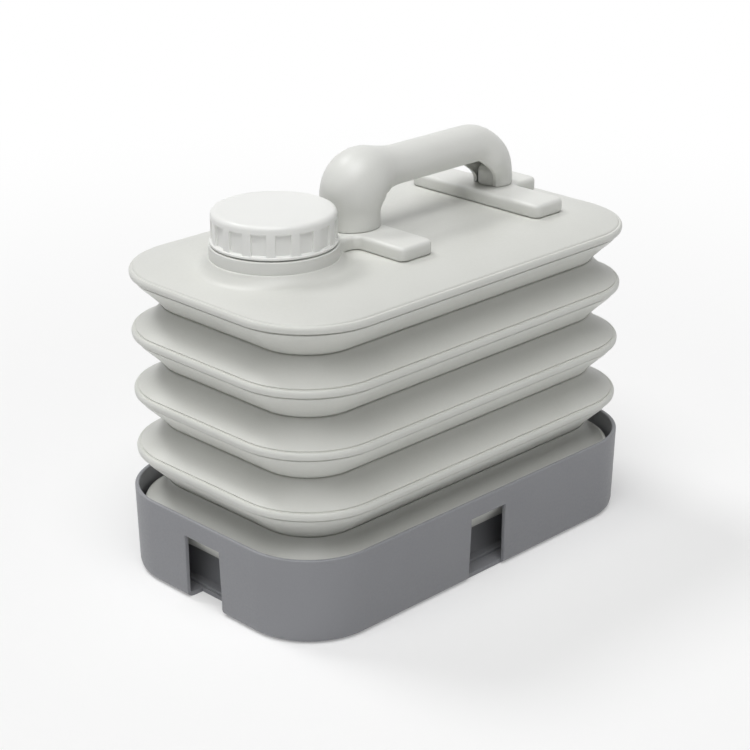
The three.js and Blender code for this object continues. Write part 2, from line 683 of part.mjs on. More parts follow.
// Stations along the middle of the handle: place, direction across it, and length so far
function handleStations() {
  const bottom = PLATE_TOP + SEAT_GAP;
  const stations = [];
  const add = (x, z, angle) => stations.push({ x, z, angle });
  add(FRONT_LEG_X, bottom, 0);
  add(FRONT_LEG_X, (bottom + GRIP_AXIS_HEIGHT - FRONT_BEND) / 2, 0);
  for (let step = 0; step <= BEND_STEPS; step += 1) {
    const angle = step / BEND_STEPS * Math.PI / 2;
    const x = FRONT_LEG_X + FRONT_BEND * (1 - Math.cos(angle));
    add(x, GRIP_AXIS_HEIGHT - FRONT_BEND * (1 - Math.sin(angle)), angle);
  }
  const gripStart = FRONT_LEG_X + FRONT_BEND;
  const gripEnd = REAR_LEG_X - REAR_BEND;
  const taperEnd = gripStart + GRIP_TAPER;
  for (const x of [(gripStart + taperEnd) / 2, taperEnd, (taperEnd + gripEnd) / 2]) {
    add(x, GRIP_AXIS_HEIGHT, Math.PI / 2);
  }
  for (let step = 0; step <= BEND_STEPS; step += 1) {
    const angle = step / BEND_STEPS * Math.PI / 2;
    const x = gripEnd + REAR_BEND * Math.sin(angle);
    add(x, GRIP_AXIS_HEIGHT - REAR_BEND * (1 - Math.cos(angle)), Math.PI / 2 + angle);
  }
  add(REAR_LEG_X, bottom, Math.PI);
  return stations;
}

// Radius of the handle at a station, eased between the named radii
function handleRadius(station) {
  const half = Math.PI / 4;
  const eased = (from, to, share) => (
    THREE.MathUtils.lerp(from, to, THREE.MathUtils.smoothstep(share, 0, 1))
  );
  if (station.angle <= half) {
    return eased(FRONT_FOOT_RADIUS, FRONT_SHOULDER_RADIUS, station.angle / half);
  }
  const shoulderX = FRONT_LEG_X + FRONT_BEND * (1 - Math.SQRT1_2);
  const taperEnd = FRONT_LEG_X + FRONT_BEND + GRIP_TAPER;
  if (station.x < taperEnd) {
    const share = (station.x - shoulderX) / (taperEnd - shoulderX);
    return eased(FRONT_SHOULDER_RADIUS, GRIP_RADIUS, share);
  }
  if (station.angle <= 3 * half) {
    return eased(GRIP_RADIUS, REAR_SHOULDER_RADIUS, (station.angle - 2 * half) / half);
  }
  return eased(REAR_SHOULDER_RADIUS, REAR_FOOT_RADIUS, (station.angle - 3 * half) / half);
}

function makeHandle() {
  const rings = handleStations().map((station) => {
    const radius = handleRadius(station);
    const ring = [];
    const swell = station.angle < Math.PI / 2 ? FRONT_SWELL * Math.sin(2 * station.angle) : 0;
    for (let side = 0; side < GRIP_SIDES; side += 1) {
      const around = side / GRIP_SIDES * 2 * Math.PI;
      const out = (radius + swell) * Math.cos(around) + swell;
      const x = station.x - out * Math.cos(station.angle);
      const z = station.z + out * Math.sin(station.angle);
      ring.push(new THREE.Vector3(x, (radius + swell) * Math.sin(around), z));
    }
    return ring;
  });
  const socketTop = PLATE_TOP + SPIGOT_HEIGHT + SEAT_GAP;
  const cutters = [];
  for (const plate of Object.values(PLATES)) {
    const holeTop = socketTop + SCREW_REACH + SEAT_GAP;
    cutters.push(peg(SPIGOT_RADIUS + FIT_GAP, PLATE_TOP - OVERRUN, socketTop, plate.legX, 0));
    cutters.push(peg(SCREW_SHANK_RADIUS + FIT_GAP, PLATE_TOP, holeTop, plate.legX, 0));
  }
  return combined([loft(rings, false)], cutters);
}

// The screw that holds a leg of the handle to its cross plate
function makeScrew(plate) {
  const head = PLATE_BOTTOM + SEAT_GAP;
  const tip = PLATE_TOP + SPIGOT_HEIGHT + SCREW_REACH;
  const profile = [
    [0, head],
    [SCREW_HEAD_RADIUS, head],
    [SCREW_HEAD_RADIUS, head + SCREW_HEAD_HEIGHT],
    [SCREW_SHANK_RADIUS, head + SCREW_HEAD_HEIGHT],
    [SCREW_SHANK_RADIUS, tip],
    [0, tip],
  ];
  return turned(profile, PEG_SIDES).translate(plate.legX, 0, 0);
}

const carrier = new THREE.Group();
carrier.add(named('base_tray', makeTray(), TRAY_LOOK));

const tank = new THREE.Group();
tank.add(named('tank_base', makeBase(), TANK_LOOK));
for (let fold = FOLD_COUNT - 1; fold >= 1; fold -= 1) {
  tank.add(named(`fold_web_${fold}`, makeWeb(fold), TANK_LOOK));
  if (fold > 1) tank.add(named(`fold_crest_${fold}`, makeCrest(fold), TANK_LOOK));
}
tank.add(named('lid_shell', makeLid(), TANK_LOOK));
carrier.add(tank);

const mouth = new THREE.Group();
mouth.add(named('threaded_neck', makeNeck(), FITTING_LOOK));
mouth.add(named('cap_liner', makeLiner(), LINER_LOOK));
mouth.add(named('screw_cap', makeCap(), FITTING_LOOK));
carrier.add(mouth);

const handle = new THREE.Group();
handle.add(named('front_cross_plate', makePlate(PLATES.front), FITTING_LOOK));
handle.add(named('rear_cross_plate', makePlate(PLATES.rear), FITTING_LOOK));
handle.add(named('handle_grip', makeHandle(), FITTING_LOOK));
handle.add(named('front_grip_screw', makeScrew(PLATES.front), SCREW_LOOK));
handle.add(named('rear_grip_screw', makeScrew(PLATES.rear), SCREW_LOOK));
carrier.add(handle);

export default carrier;
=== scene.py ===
"""Collapsible water carrier, dressed for the render.

A bellows tank of five folds stands in a grey base tray. The lid carries a threaded neck with a
screw cap, and a handle on two cross plates. Every length is in metres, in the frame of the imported
model: the origin lies on the ground under the middle of the tray and +X runs from the cap end to
the far end.
"""
import logging
import math
from collections.abc import Iterable, Iterator, Sequence
from dataclasses import dataclass
from enum import Enum

import bmesh
import bpy
from bmesh.types import BMEdge, BMesh, BMFace, BMVert
from bpy.types import ID, Material, Node, NodeSocket, Object, World
from mathutils import Matrix, Vector


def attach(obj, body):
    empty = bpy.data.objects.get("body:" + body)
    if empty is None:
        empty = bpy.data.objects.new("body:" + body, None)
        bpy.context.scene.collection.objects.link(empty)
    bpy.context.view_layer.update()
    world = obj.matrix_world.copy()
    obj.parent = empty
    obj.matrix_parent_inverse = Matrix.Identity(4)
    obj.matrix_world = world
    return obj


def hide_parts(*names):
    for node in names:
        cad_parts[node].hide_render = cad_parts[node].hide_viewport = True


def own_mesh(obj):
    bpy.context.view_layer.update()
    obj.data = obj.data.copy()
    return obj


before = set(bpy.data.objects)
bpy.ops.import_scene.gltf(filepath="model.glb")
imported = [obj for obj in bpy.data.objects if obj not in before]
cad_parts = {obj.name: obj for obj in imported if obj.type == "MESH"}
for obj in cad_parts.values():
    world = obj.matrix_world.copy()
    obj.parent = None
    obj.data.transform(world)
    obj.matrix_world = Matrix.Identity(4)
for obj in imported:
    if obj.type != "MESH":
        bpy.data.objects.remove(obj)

LOG = logging.getLogger("carrier")
UP = Vector((0.0, 0.0, 1.0))
QUARTER = math.pi / 2
MERGE_REACH = 0.000002
LEVEL_SLACK = 0.00001
SHARP_ANGLE = 0.9
ROUND_SEGMENTS = 5
NECK_X = -0.094
FRONT_LEG_X = -0.0296
REAR_LEG_X = 0.104

Colour = tuple[float, float, float]
Section = Sequence[tuple[float, float, float]]


class Slot(Enum):
    """Material slots of the record."""

    TRAY = "tray"
    TANK = "tank"
    FITTINGS = "fittings"
    LINER = "liner"
    SCREWS = "screws"


class NodeSheet:
    """Node tree of one material or world, filled node by node."""

    NOISE_ROUGHNESS = 0.55
    PATTERN_LOW = 0.3
    PATTERN_HIGH = 0.7

    def __init__(self, owner: Material | World) -> None:
        """Empties the node tree of a new material or world."""
        self.owner = owner
        owner.use_nodes = True
        self.tree = owner.node_tree
        self.tree.nodes.clear()

    def add(self, kind: str, *feeds: NodeSocket, **values: object) -> Node:
        """Adds a node, sets its values and links what feeds it.

        Args:
            kind: Type name of the node.
            *feeds: Sockets for the node's first inputs, in order.
            **values: Node properties by their own name, or inputs by name with underscores for
                spaces. A socket is linked, and any other value is set.

        Returns:
            The new node.
        """
        node = self.tree.nodes.new(kind)
        for key, value in values.items():
            if hasattr(node, key):
                setattr(node, key, value)
            elif isinstance(value, NodeSocket):
                self.tree.links.new(value, node.inputs[key.replace("_", " ")])
            else:
                node.inputs[key.replace("_", " ")].default_value = value
        for place, feed in enumerate(feeds):
            self.tree.links.new(feed, node.inputs[place])
        return node

    def noise(self, place: NodeSocket, scale: float, detail: float) -> NodeSocket:
        """Adds a noise pattern with some waves a metre and a value of about 0 to 1."""
        node = self.add(
            "ShaderNodeTexNoise", Scale=scale, Detail=detail, Roughness=self.NOISE_ROUGHNESS,
            Vector=place,
        )
        return node.outputs["Fac"]

    def ranged(self, value: NodeSocket, low: float, high: float) -> NodeSocket:
        """Maps the middle of a pattern to a range from low to high."""
        node = self.add(
            "ShaderNodeMapRange", From_Min=self.PATTERN_LOW, From_Max=self.PATTERN_HIGH,
            To_Min=low, To_Max=high, Value=value,
        )
        return node.outputs["Result"]

    def combined(self, operation: str, first: NodeSocket, second: NodeSocket) -> NodeSocket:
        """Joins two values by an operation of the maths node."""
        return self.add("ShaderNodeMath", first, second, operation=operation).outputs[0]

    def shown(self) -> NodeSocket:
        """Adds the test for what the camera sees straight, mirrored or through glass."""
        path = self.add("ShaderNodeLightPath")
        seen = path.outputs["Is Camera Ray"]
        for other in ("Is Glossy Ray", "Is Transmission Ray"):
            seen = self.combined("MAXIMUM", seen, path.outputs[other])
        return seen


@dataclass(frozen=True)
class MouldedFinish:
    """A moulded plastic, rubber or metal surface with a grain, a soft ripple and a faint mottle.

    The grain and the ripple each have a scale, in waves a metre, and a depth in metres.
    """

    name: str
    colour: Colour
    mottle: Colour
    roughness: tuple[float, float]
    grain: tuple[float, float]
    ripple: tuple[float, float]
    metallic: float = 0.0
    brushed: float = 1.0
    cloud_scale: float = 22.0
    fleck_share: float = 0.6
    fleck_low: float = 0.35

    def material(self) -> Material:
        """Builds the finish as a material on the object's own coordinates."""
        sheet = NodeSheet(bpy.data.materials.new(self.name))
        place = sheet.add("ShaderNodeTexCoord").outputs["Object"]
        brushed = sheet.add("ShaderNodeMapping", Scale=(1.0, 1.0, self.brushed), Vector=place)
        grain_place = brushed.outputs["Vector"]
        cloud = sheet.noise(place, self.cloud_scale, 3.0)
        fleck = sheet.noise(grain_place, self.grain[0] * self.fleck_share, 2.0)
        blotch = sheet.combined(
            "MULTIPLY", sheet.ranged(cloud, 0.0, 1.0), sheet.ranged(fleck, self.fleck_low, 1.0)
        )
        tone = sheet.add("ShaderNodeMix", blotch, data_type="RGBA", blend_type="MIX")
        colour_inputs = [item for item in tone.inputs if item.type == "RGBA"]
        for socket, colour in zip(colour_inputs, (self.colour, self.mottle)):
            socket.default_value = (*colour, 1.0)
        colour_output = next(item for item in tone.outputs if item.type == "RGBA")

        fine = sheet.add(
            "ShaderNodeBump", Strength=1.0, Distance=self.grain[1],
            Height=sheet.noise(grain_place, self.grain[0], 2.0),
        )
        soft = sheet.add(
            "ShaderNodeBump", Strength=1.0, Distance=self.ripple[1],
            Height=sheet.noise(place, self.ripple[0], 1.0), Normal=fine.outputs["Normal"],
        )
        shader = sheet.add(
            "ShaderNodeBsdfPrincipled", Metallic=self.metallic, Base_Color=colour_output,
            Roughness=sheet.ranged(fleck, *self.roughness), Normal=soft.outputs["Normal"],
        )
        sheet.add("ShaderNodeOutputMaterial", Surface=shader.outputs["BSDF"])
        return sheet.owner


TANK_FINISH = MouldedFinish(
    "blown_warm_white", colour=(0.690, 0.695, 0.660), mottle=(0.665, 0.670, 0.632),
    roughness=(0.36, 0.46), grain=(900.0, 0.00002), ripple=(30.0, 0.0004),
)
FITTINGS_FINISH = MouldedFinish(
    "moulded_warm_white", colour=(0.770, 0.775, 0.745), mottle=(0.750, 0.755, 0.722),
    roughness=(0.34, 0.44), grain=(1200.0, 0.000015), ripple=(24.0, 0.0002),
)
# Whiter copy of the fittings' white for the cap: the extra whiteness is painted light, for the
# bright light on the cap's top.
CAP_PAINTED_LIGHT_FINISH = MouldedFinish(
    "moulded_white_painted_light", colour=(0.880, 0.885, 0.862), mottle=(0.860, 0.865, 0.840),
    roughness=(0.30, 0.40), grain=(1300.0, 0.000012), ripple=(26.0, 0.0001),
)
TRAY_FINISH = MouldedFinish(
    "moulded_mid_grey", colour=(0.272, 0.276, 0.293), mottle=(0.257, 0.261, 0.278),
    roughness=(0.42, 0.58), grain=(1100.0, 0.00004), ripple=(18.0, 0.0002),
)
LINER_FINISH = MouldedFinish(
    "soft_seal", colour=(0.55, 0.56, 0.55), mottle=(0.50, 0.51, 0.50),
    roughness=(0.62, 0.78), grain=(700.0, 0.00004), ripple=(60.0, 0.0001),
)
SCREW_FINISH = MouldedFinish(
    "plain_steel", colour=(0.58, 0.58, 0.60), mottle=(0.50, 0.50, 0.52),
    roughness=(0.22, 0.38), grain=(1500.0, 0.00001), ripple=(40.0, 0.00002),
    metallic=1.0, brushed=0.2,
)
USUAL_FINISH = {
    Slot.TRAY: TRAY_FINISH,
    Slot.TANK: TANK_FINISH,
    Slot.FITTINGS: FITTINGS_FINISH,
    Slot.LINER: LINER_FINISH,
    Slot.SCREWS: SCREW_FINISH,
}


def placed(name: str, data: ID) -> Object:
    """Makes an object of a mesh, a lamp or a camera and puts it in the scene."""
    item = bpy.data.objects.new(name, data)
    bpy.context.scene.collection.objects.link(item)
    return item


def aimed(item: Object, place: Sequence[float], along: Vector) -> None:
    """Sets a lamp or a camera at a place, looking along a direction."""
    item.location = place
    item.rotation_euler = along.to_track_quat("-Z", "Y").to_euler()


class Workshop:
    """Keeps one material for each finish and turns finished meshes into pieces on a body."""

    def __init__(self) -> None:
        """Starts with no material."""
        self.materials: dict[str, Material] = {}

    def material(self, finish: MouldedFinish) -> Material:
        """The material of a finish, built the first time that a piece asks for it."""
        if finish.name not in self.materials:
            self.materials[finish.name] = finish.material()
        return self.materials[finish.name]

    def piece(
        self,
        name: str,
        work: BMesh,
        body: str,
        slot: Slot,
        replaced: Sequence[str] = (),
        crease: float = 38.0,
        finish: MouldedFinish | None = None,
    ) -> Object:
        """Makes a piece from a finished bmesh, and dresses it and sets it on its body.

        Args:
            name: Name of the piece.
            work: The bmesh, which is freed.
            body: The body that the piece rides on.
            slot: Material slot of the piece.
            replaced: Nodes of the frame that the piece stands for.
            crease: Angle in degrees above which an edge shows as a crease.
            finish: Finish of the piece, where it isn't the usual one of its slot.

        Returns:
            The new object.
        """
        mesh = bpy.data.meshes.new(name)
        work.to_mesh(mesh)
        work.free()
        mesh.shade_smooth()
        mesh.set_sharp_from_angle(angle=math.radians(crease))
        mesh.materials.append(self.material(finish or USUAL_FINISH[slot]))
        piece = placed(name, mesh)
        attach(piece, body)
        if replaced:
            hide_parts(*replaced)
        LOG.info("%s: %d faces on %s", name, len(mesh.polygons), body)
        return piece


def picked(items: Iterable[object], kind: type) -> list:
    """The items of one kind, in their order."""
    return [item for item in items if isinstance(item, kind)]


def ends(edges: Iterable[BMEdge]) -> list[BMVert]:
    """The end points of edges, each once."""
    return list(dict.fromkeys(point for edge in edges for point in edge.verts))


def sealed(work: BMesh) -> BMesh:
    """Merges the doubles of a mesh and points its faces outwards."""
    bmesh.ops.remove_doubles(work, verts=work.verts, dist=MERGE_REACH)
    bmesh.ops.recalc_face_normals(work, faces=work.faces)
    return work


def moved(work: BMesh, x: float, y: float, z: float) -> BMesh:
    """Moves a whole bmesh."""
    bmesh.ops.translate(work, verts=work.verts, vec=(x, y, z))
    return work


def turned(work: BMesh, angle: float, axis: str = "Z") -> BMesh:
    """Turns a whole bmesh about an axis through the origin."""
    bmesh.ops.rotate(
        work, verts=work.verts, cent=(0.0, 0.0, 0.0), matrix=Matrix.Rotation(angle, 3, axis)
    )
    return work


def join(work: BMesh, other: BMesh) -> None:
    """Adds a second bmesh to a first one and frees the second."""
    carrier = bpy.data.meshes.new("carrier")
    other.to_mesh(carrier)
    other.free()
    work.from_mesh(carrier)
    bpy.data.meshes.remove(carrier)


def bevelled(work: BMesh, edges: Iterable[BMEdge], offset: float, segments: int) -> None:
    """Rounds edges by an offset, with some faces across the round."""
    bmesh.ops.bevel(
        work, geom=list(edges), offset=offset, offset_type="OFFSET", segments=segments,
        profile=0.5, affect="EDGES", material=-1, clamp_overlap=True,
    )


def drawn(work: BMesh, section: Section, closed: bool) -> list[BMEdge]:
    """Draws a section in the XZ plane and rounds its corners.

    Args:
        work: The bmesh that gets the section.
        section: Points as x, z and the offset of the round at that corner, or 0.
        closed: Whether the last point joins the first.

    Returns:
        The section's edges.
    """
    known = set(work.edges)
    points = [work.verts.new((x, 0.0, z)) for x, z, _ in section]
    for start, end in zip(points, points[1:]):
        work.edges.new((start, end))
    if closed:
        work.edges.new((points[-1], points[0]))
    for point, (_, _, offset) in zip(points, section):
        if offset > 0.0:
            bmesh.ops.bevel(
                work, geom=[point], offset=offset, offset_type="OFFSET",
                segments=ROUND_SEGMENTS, profile=0.5, affect="VERTICES", material=-1,
                clamp_overlap=False,
            )
    return [edge for edge in work.edges if edge not in known]


def extruded(work: BMesh, edges: list[BMEdge]) -> tuple[list[BMVert], list[BMEdge]]:
    """Extrudes edges where they stand and gives the new points and the new edges."""
    made = bmesh.ops.extrude_edge_only(work, edges=edges)["geom"]
    points = picked(made, BMVert)
    kept = set(points)
    return points, [edge for edge in picked(made, BMEdge) if set(edge.verts) <= kept]


def spun(section: Section, steps: int, x: float = 0.0, closed: bool = False) -> BMesh:
    """Turns a section about an upright axis.

    Args:
        section: Points as radius, height and round.
        steps: Steps of the full turn.
        x: Place of the axis along the lid.
        closed: Whether the last point joins the first.

    Returns:
        The turned bmesh.
    """
    work = bmesh.new()
    edges = drawn(work, section, closed)
    bmesh.ops.spin(
        work, geom=edges + ends(edges), cent=(0.0, 0.0, 0.0), axis=UP, angle=2 * math.pi,
        steps=steps, use_merge=True,
    )
    return moved(sealed(work), x, 0.0, 0.0)


def eased(share: float) -> float:
    """Smooth step of a share that is cut to 0 to 1."""
    share = min(max(share, 0.0), 1.0)
    return share * share * (3.0 - 2.0 * share)


@dataclass
class OblongSweep:
    """Sweeps a section round a rounded rectangle.

    A point of the section is an inset from the outline, a height and a round. The straight
    stretches are broken at the stops, which are distances from their middles.
    """

    length: float
    width: float
    corner: float
    long_stops: tuple[float, ...]
    short_stops: tuple[float, ...]
    corner_steps: int = 24

    def swept(self, section: Section, closed: bool) -> BMesh:
        """Sweeps a section right round.

        Args:
            section: Points as inset, height and round.
            closed: Whether the last point of the section joins the first.

        Returns:
            A bmesh whose seam is merged.
        """
        work = bmesh.new()
        half_length, half_width = self.length / 2, self.width / 2
        front = [(half_length - inset, height, offset) for inset, height, offset in section]
        edges = drawn(work, front, closed)
        bmesh.ops.translate(work, verts=ends(edges), vec=(0.0, self.corner - half_width, 0.0))
        for side in range(4):
            turn = Matrix.Rotation(side * QUARTER, 3, "Z")
            ahead, aside, stops = (
                (half_length, half_width, self.short_stops) if side % 2 == 0
                else (half_width, half_length, self.long_stops)
            )
            run = aside - self.corner
            marks = [-run, *sorted(stop for stop in stops if abs(stop) < run), run]
            for near, far in zip(marks, marks[1:]):
                points, edges = extruded(work, edges)
                along = turn @ Vector((0.0, far - near, 0.0))
                bmesh.ops.translate(work, verts=points, vec=along)
            made = bmesh.ops.spin(
                work, geom=edges + ends(edges), axis=UP, angle=QUARTER, steps=self.corner_steps,
                cent=turn @ Vector((ahead - self.corner, run, 0.0)), use_merge=False,
            )
            edges = picked(made["geom_last"], BMEdge)
        return sealed(work)

    def inset_of(self, place: Vector) -> float:
        """How far a point stands in from the outline, seen from above."""
        x = abs(place.x) - (self.length / 2 - self.corner)
        y = abs(place.y) - (self.width / 2 - self.corner)
        if x > 0.0 and y > 0.0:
            return self.corner - math.hypot(x, y)
        return self.corner - max(x, y)


@dataclass
class BaseTray:
    """Grey tray with a rim, a raised hollow plinth, a gutter and a notch in each side."""

    length: float = 0.320
    width: float = 0.192
    corner: float = 0.049
    height: float = 0.0575
    wall: float = 0.0028
    floor: float = 0.003
    draft: float = 0.0013
    fillet: float = 0.0055
    rim_round: float = 0.0009
    recess_inset: float = 0.0263
    recess_top: float = 0.0200
    ring_inset: float = 0.0238
    gutter_inset: float = 0.0150
    step_height: float = 0.0048
    step_inset: float = 0.0210
    plinth_inset: float = 0.0235
    plinth_top: float = 0.0230
    plinth_middle: float = 0.0300
    notch_half: float = 0.016
    notch_top: float = 0.0445
    notch_flare: float = 0.0008
    notch_round: float = 0.0007
    long_depth: float = 0.0046
    short_depth: float = 0.014

    def lean(self, height: float) -> float:
        """How far the outside stands in from the rim at a height."""
        return self.draft * (1.0 - height / self.height)

    def section(self) -> Section:
        """Section from the middle of the hollow plinth round the wall to the plinth's top.

        Returns:
            Points as inset, height and round.
        """
        foot, fillet = self.lean(0.0), self.fillet
        notch_lean = self.lean(self.notch_top)
        below = math.sqrt(fillet ** 2 - (foot + fillet - self.long_depth) ** 2)
        return [
            (self.recess_inset, self.recess_top, 0.0),
            (self.ring_inset, 0.0, 0.0006),
            (self.short_depth, 0.0, 0.0),
            (foot + fillet, 0.0, 0.0),
            (self.long_depth, fillet - below, 0.0),
            (foot + fillet * 0.34, fillet * 0.25, 0.0),
            (foot + fillet * 0.12, fillet * 0.52, 0.0),
            (foot, fillet, 0.0),
            (notch_lean, self.notch_top, 0.0),
            (0.0, self.height, self.rim_round),
            (self.wall, self.height, self.rim_round),
            (notch_lean + self.wall, self.notch_top, 0.0),
            (self.lean(self.floor) + self.wall, self.floor, 0.0),
            (self.long_depth, self.floor, 0.0),
            (self.short_depth, self.floor, 0.0),
            (self.gutter_inset, self.floor, 0.0),
            (self.gutter_inset, self.step_height, 0.0005),
            (self.step_inset, self.step_height, 0.0010),
            (self.plinth_inset, self.plinth_top, 0.0012),
            (self.plinth_middle, self.plinth_top, 0.0),
        ]

    def build(self, shop: Workshop) -> Object:
        """Sweeps the section, cuts the notches and rounds their edges."""
        stops = (-self.notch_half, self.notch_half)
        sweep = OblongSweep(self.length, self.width, self.corner, stops, stops)
        work = sweep.swept(self.section(), closed=False)
        bmesh.ops.holes_fill(work, edges=work.edges, sides=0)
        for side in range(4):
            self.cut_notch(work, side)
        sealed(work)
        return shop.piece("tray_moulding", work, "tray_body", Slot.TRAY, ["base_tray"])

    def cut_notch(self, work: BMesh, side: int) -> None:
        """Opens the wall at the middle of one side and joins its two skins round the opening.

        Args:
            work: The tray's bmesh.
            side: Quarter turns of the side from +X.
        """
        turn = Matrix.Rotation(side * QUARTER, 3, "Z").inverted()
        on_short = side % 2 == 0
        face_at = (self.length if on_short else self.width) / 2
        depth = self.short_depth if on_short else self.long_depth
        slack = 0.0001
        foot_edge = 0.005

        def inside(place: Vector) -> bool:
            """Whether a face's middle lies in the opening."""
            near = turn @ place
            return (
                abs(near.y) < self.notch_half
                and face_at - near.x < depth - slack * 0.1
                and near.x > 0.0
                and near.z < self.notch_top - slack
            )

        def on_outside(point: BMVert) -> bool:
            """Whether a point lies on the wall's outside, above the foot."""
            near = turn @ point.co
            return face_at - near.x < self.wall * 0.6 + self.draft and near.z > foot_edge

        cut = [face for face in work.faces if inside(face.calc_center_median())]
        bmesh.ops.delete(work, geom=cut, context="FACES")
        rim = [edge for edge in work.edges if edge.is_boundary]
        bridged = bmesh.ops.bridge_loops(work, edges=rim)["faces"]
        for point in {point for face in bridged for point in face.verts}:
            near = turn @ point.co
            flare = self.notch_flare * (1.0 - near.z / self.notch_top)
            near.y += math.copysign(flare, near.y)
            point.co = turn.inverted() @ near
        bmesh.ops.recalc_face_normals(work, faces=work.faces)
        outer = [edge for edge in rim if edge.is_valid and all(map(on_outside, edge.verts))]
        bevelled(work, outer, self.notch_round, segments=3)


@dataclass
class BellowsTank:
    """Soft tank of five folds: its base, four flexing webs and three loose crests.

    The sections of the bead and of the web's two faces are shared by every fold. The bead's points
    are an inset, a rise over the parting line and a round. The faces' points are shares of the way
    in and of the way up, from the bead below to the trough and from the trough to the crest above.
    """

    length: float = 0.319
    width: float = 0.191
    corner: float = 0.0535
    folds: int = 5
    pitch: float = 0.0393
    base_crest: float = 0.0424
    depth: float = 0.0195
    lower_height: float = 0.0193
    bead: float = 0.0053
    groove: float = 0.0016
    undercut: float = 0.0024
    face_inset: float = 0.0028
    wall: float = 0.0022
    base_inset: float = 0.00344
    bottom: float = 0.0233
    parting_gap: float = 0.0010
    tuck: float = 0.0014
    tuck_inset: float = 0.0036
    tuck_low: float = 0.0002
    web_shift: float = 0.0001
    web_tuck: float = 0.0012
    web_rise: float = 0.0004
    crease_depth: float = 0.0018
    crease_half: float = 0.0004
    crease_lip: float = 0.0002
    crease_taper: float = 0.7
    shelf_inset: float = 0.0030
    shelf_rise: float = 0.0049
    crest_lip: float = 0.0052
    base_lip: float = 0.0055
    floor_middle: float = 0.0400
    travel: float = 0.094
    bead_section: Section = (
        (0.0030, 0.0006, 0.0), (0.0005, 0.0006, 0.0004), (0.0, 0.0022, 0.0010),
        (0.0002, 0.0040, 0.0010), (0.0012, 0.0051, 0.0005), (0.0023, 0.0049, 0.0003),
        (0.0028, 0.0057, 0.0003),
    )
    upper_face: Sequence[tuple[float, float]] = (
        (0.0, 0.0), (0.12, 0.07), (0.24, 0.148), (0.36, 0.235), (0.48, 0.335), (0.6, 0.447),
        (0.72, 0.575), (0.82, 0.695), (0.9, 0.81), (0.96, 0.91),
    )
    lower_face: Sequence[tuple[float, float]] = (
        (0.9, 0.13), (0.78, 0.25), (0.64, 0.385), (0.48, 0.53), (0.3, 0.69), (0.12, 0.85),
    )

    def sweep(self, long_spans: int = 10, short_spans: int = 4) -> OblongSweep:
        """The outline that all rings are set in from, with its straights cut into spans."""
        runs = []
        for spans, size in ((long_spans, self.length), (short_spans, self.width)):
            half = size / 2 - self.corner
            runs.append(tuple(half * (2 * step / spans - 1) for step in range(1, spans)))
        return OblongSweep(self.length, self.width, self.corner, *runs)

    def crest(self, fold: int) -> float:
        """Height of a fold's parting line, from 1 at the lid to 5 at the base."""
        return self.base_crest + (self.folds - fold) * self.pitch

    def crest_inset(self, fold: int) -> float:
        """How far a fold's crest stands in from the outline."""
        return self.base_inset if fold == self.folds else 0.0

    def bead_at(self, inset: float, height: float) -> list[tuple[float, float, float]]:
        """Section of a crest's bead, from its parting line up to its groove."""
        return [
            (inset + reach, height + rise, offset) for reach, rise, offset in self.bead_section
        ]

    def build_crest(self, shop: Workshop, fold: int) -> Object:
        """Makes the loose crest ring of fold 2, 3 or 4."""
        height = self.crest(fold)
        section = [
            *self.bead_at(0.0, height)[:-1],
            (self.shelf_inset, height + self.shelf_rise, 0.0),
            (self.crest_lip, height + self.shelf_rise, 0.0004),
            (self.crest_lip, height + 0.0006, 0.0004),
        ]
        work = self.sweep().swept(section, closed=True)
        return shop.piece(
            f"crest_ring_{fold}", work, f"fold_{fold}_body", Slot.TANK, [f"fold_crest_{fold}"]
        )

    def build_web(self, shop: Workshop, fold: int) -> Object:
        """Makes the flexing wall under a fold's crest.

        Args:
            shop: Where the piece is dressed.
            fold: Number of the fold above, 1 to 4.

        Returns:
            The web.
        """
        low = self.crest(fold + 1) + self.bead
        high = self.crest(fold)
        trough = high - self.lower_height
        brink = high - self.parting_gap
        low_inset = self.crest_inset(fold + 1) + self.face_inset
        lip, bed = self.depth - self.crease_lip, self.depth + self.crease_depth
        bed_half = self.crease_half * self.crease_taper
        skin = [(low_inset + self.web_shift, low - self.web_tuck, 0.0)]
        for inward, rise in self.upper_face:
            inset = low_inset + (self.depth - low_inset) * inward
            skin.append((inset, low + self.web_rise + (trough - low) * rise, 0.0))
        skin += [
            (lip, trough - self.crease_half, 0.0),
            (bed, trough - bed_half, 0.0),
            (bed, trough + bed_half, 0.0),
            (lip, trough + self.crease_half, 0.0),
        ]
        for inward, rise in self.lower_face:
            inset = self.undercut + (self.depth - self.undercut) * inward
            skin.append((inset, trough + (brink - trough) * rise, 0.0))
        skin += [
            (self.undercut, brink, 0.0004),
            (self.tuck_inset, high - self.tuck_low, 0.0),
            (self.tuck_inset, high + self.tuck, 0.0),
        ]
        inner = [(inset + self.wall, height, 0.0) for inset, height, _ in reversed(skin)]
        work = self.sweep().swept([*skin, *inner], closed=True)
        body = "base_body" if fold + 1 == self.folds else f"fold_{fold + 1}_body"
        piece = shop.piece(
            f"web_{fold}", work, body, Slot.TANK, [f"fold_web_{fold}"], crease=50.0
        )
        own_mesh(piece)
        return piece

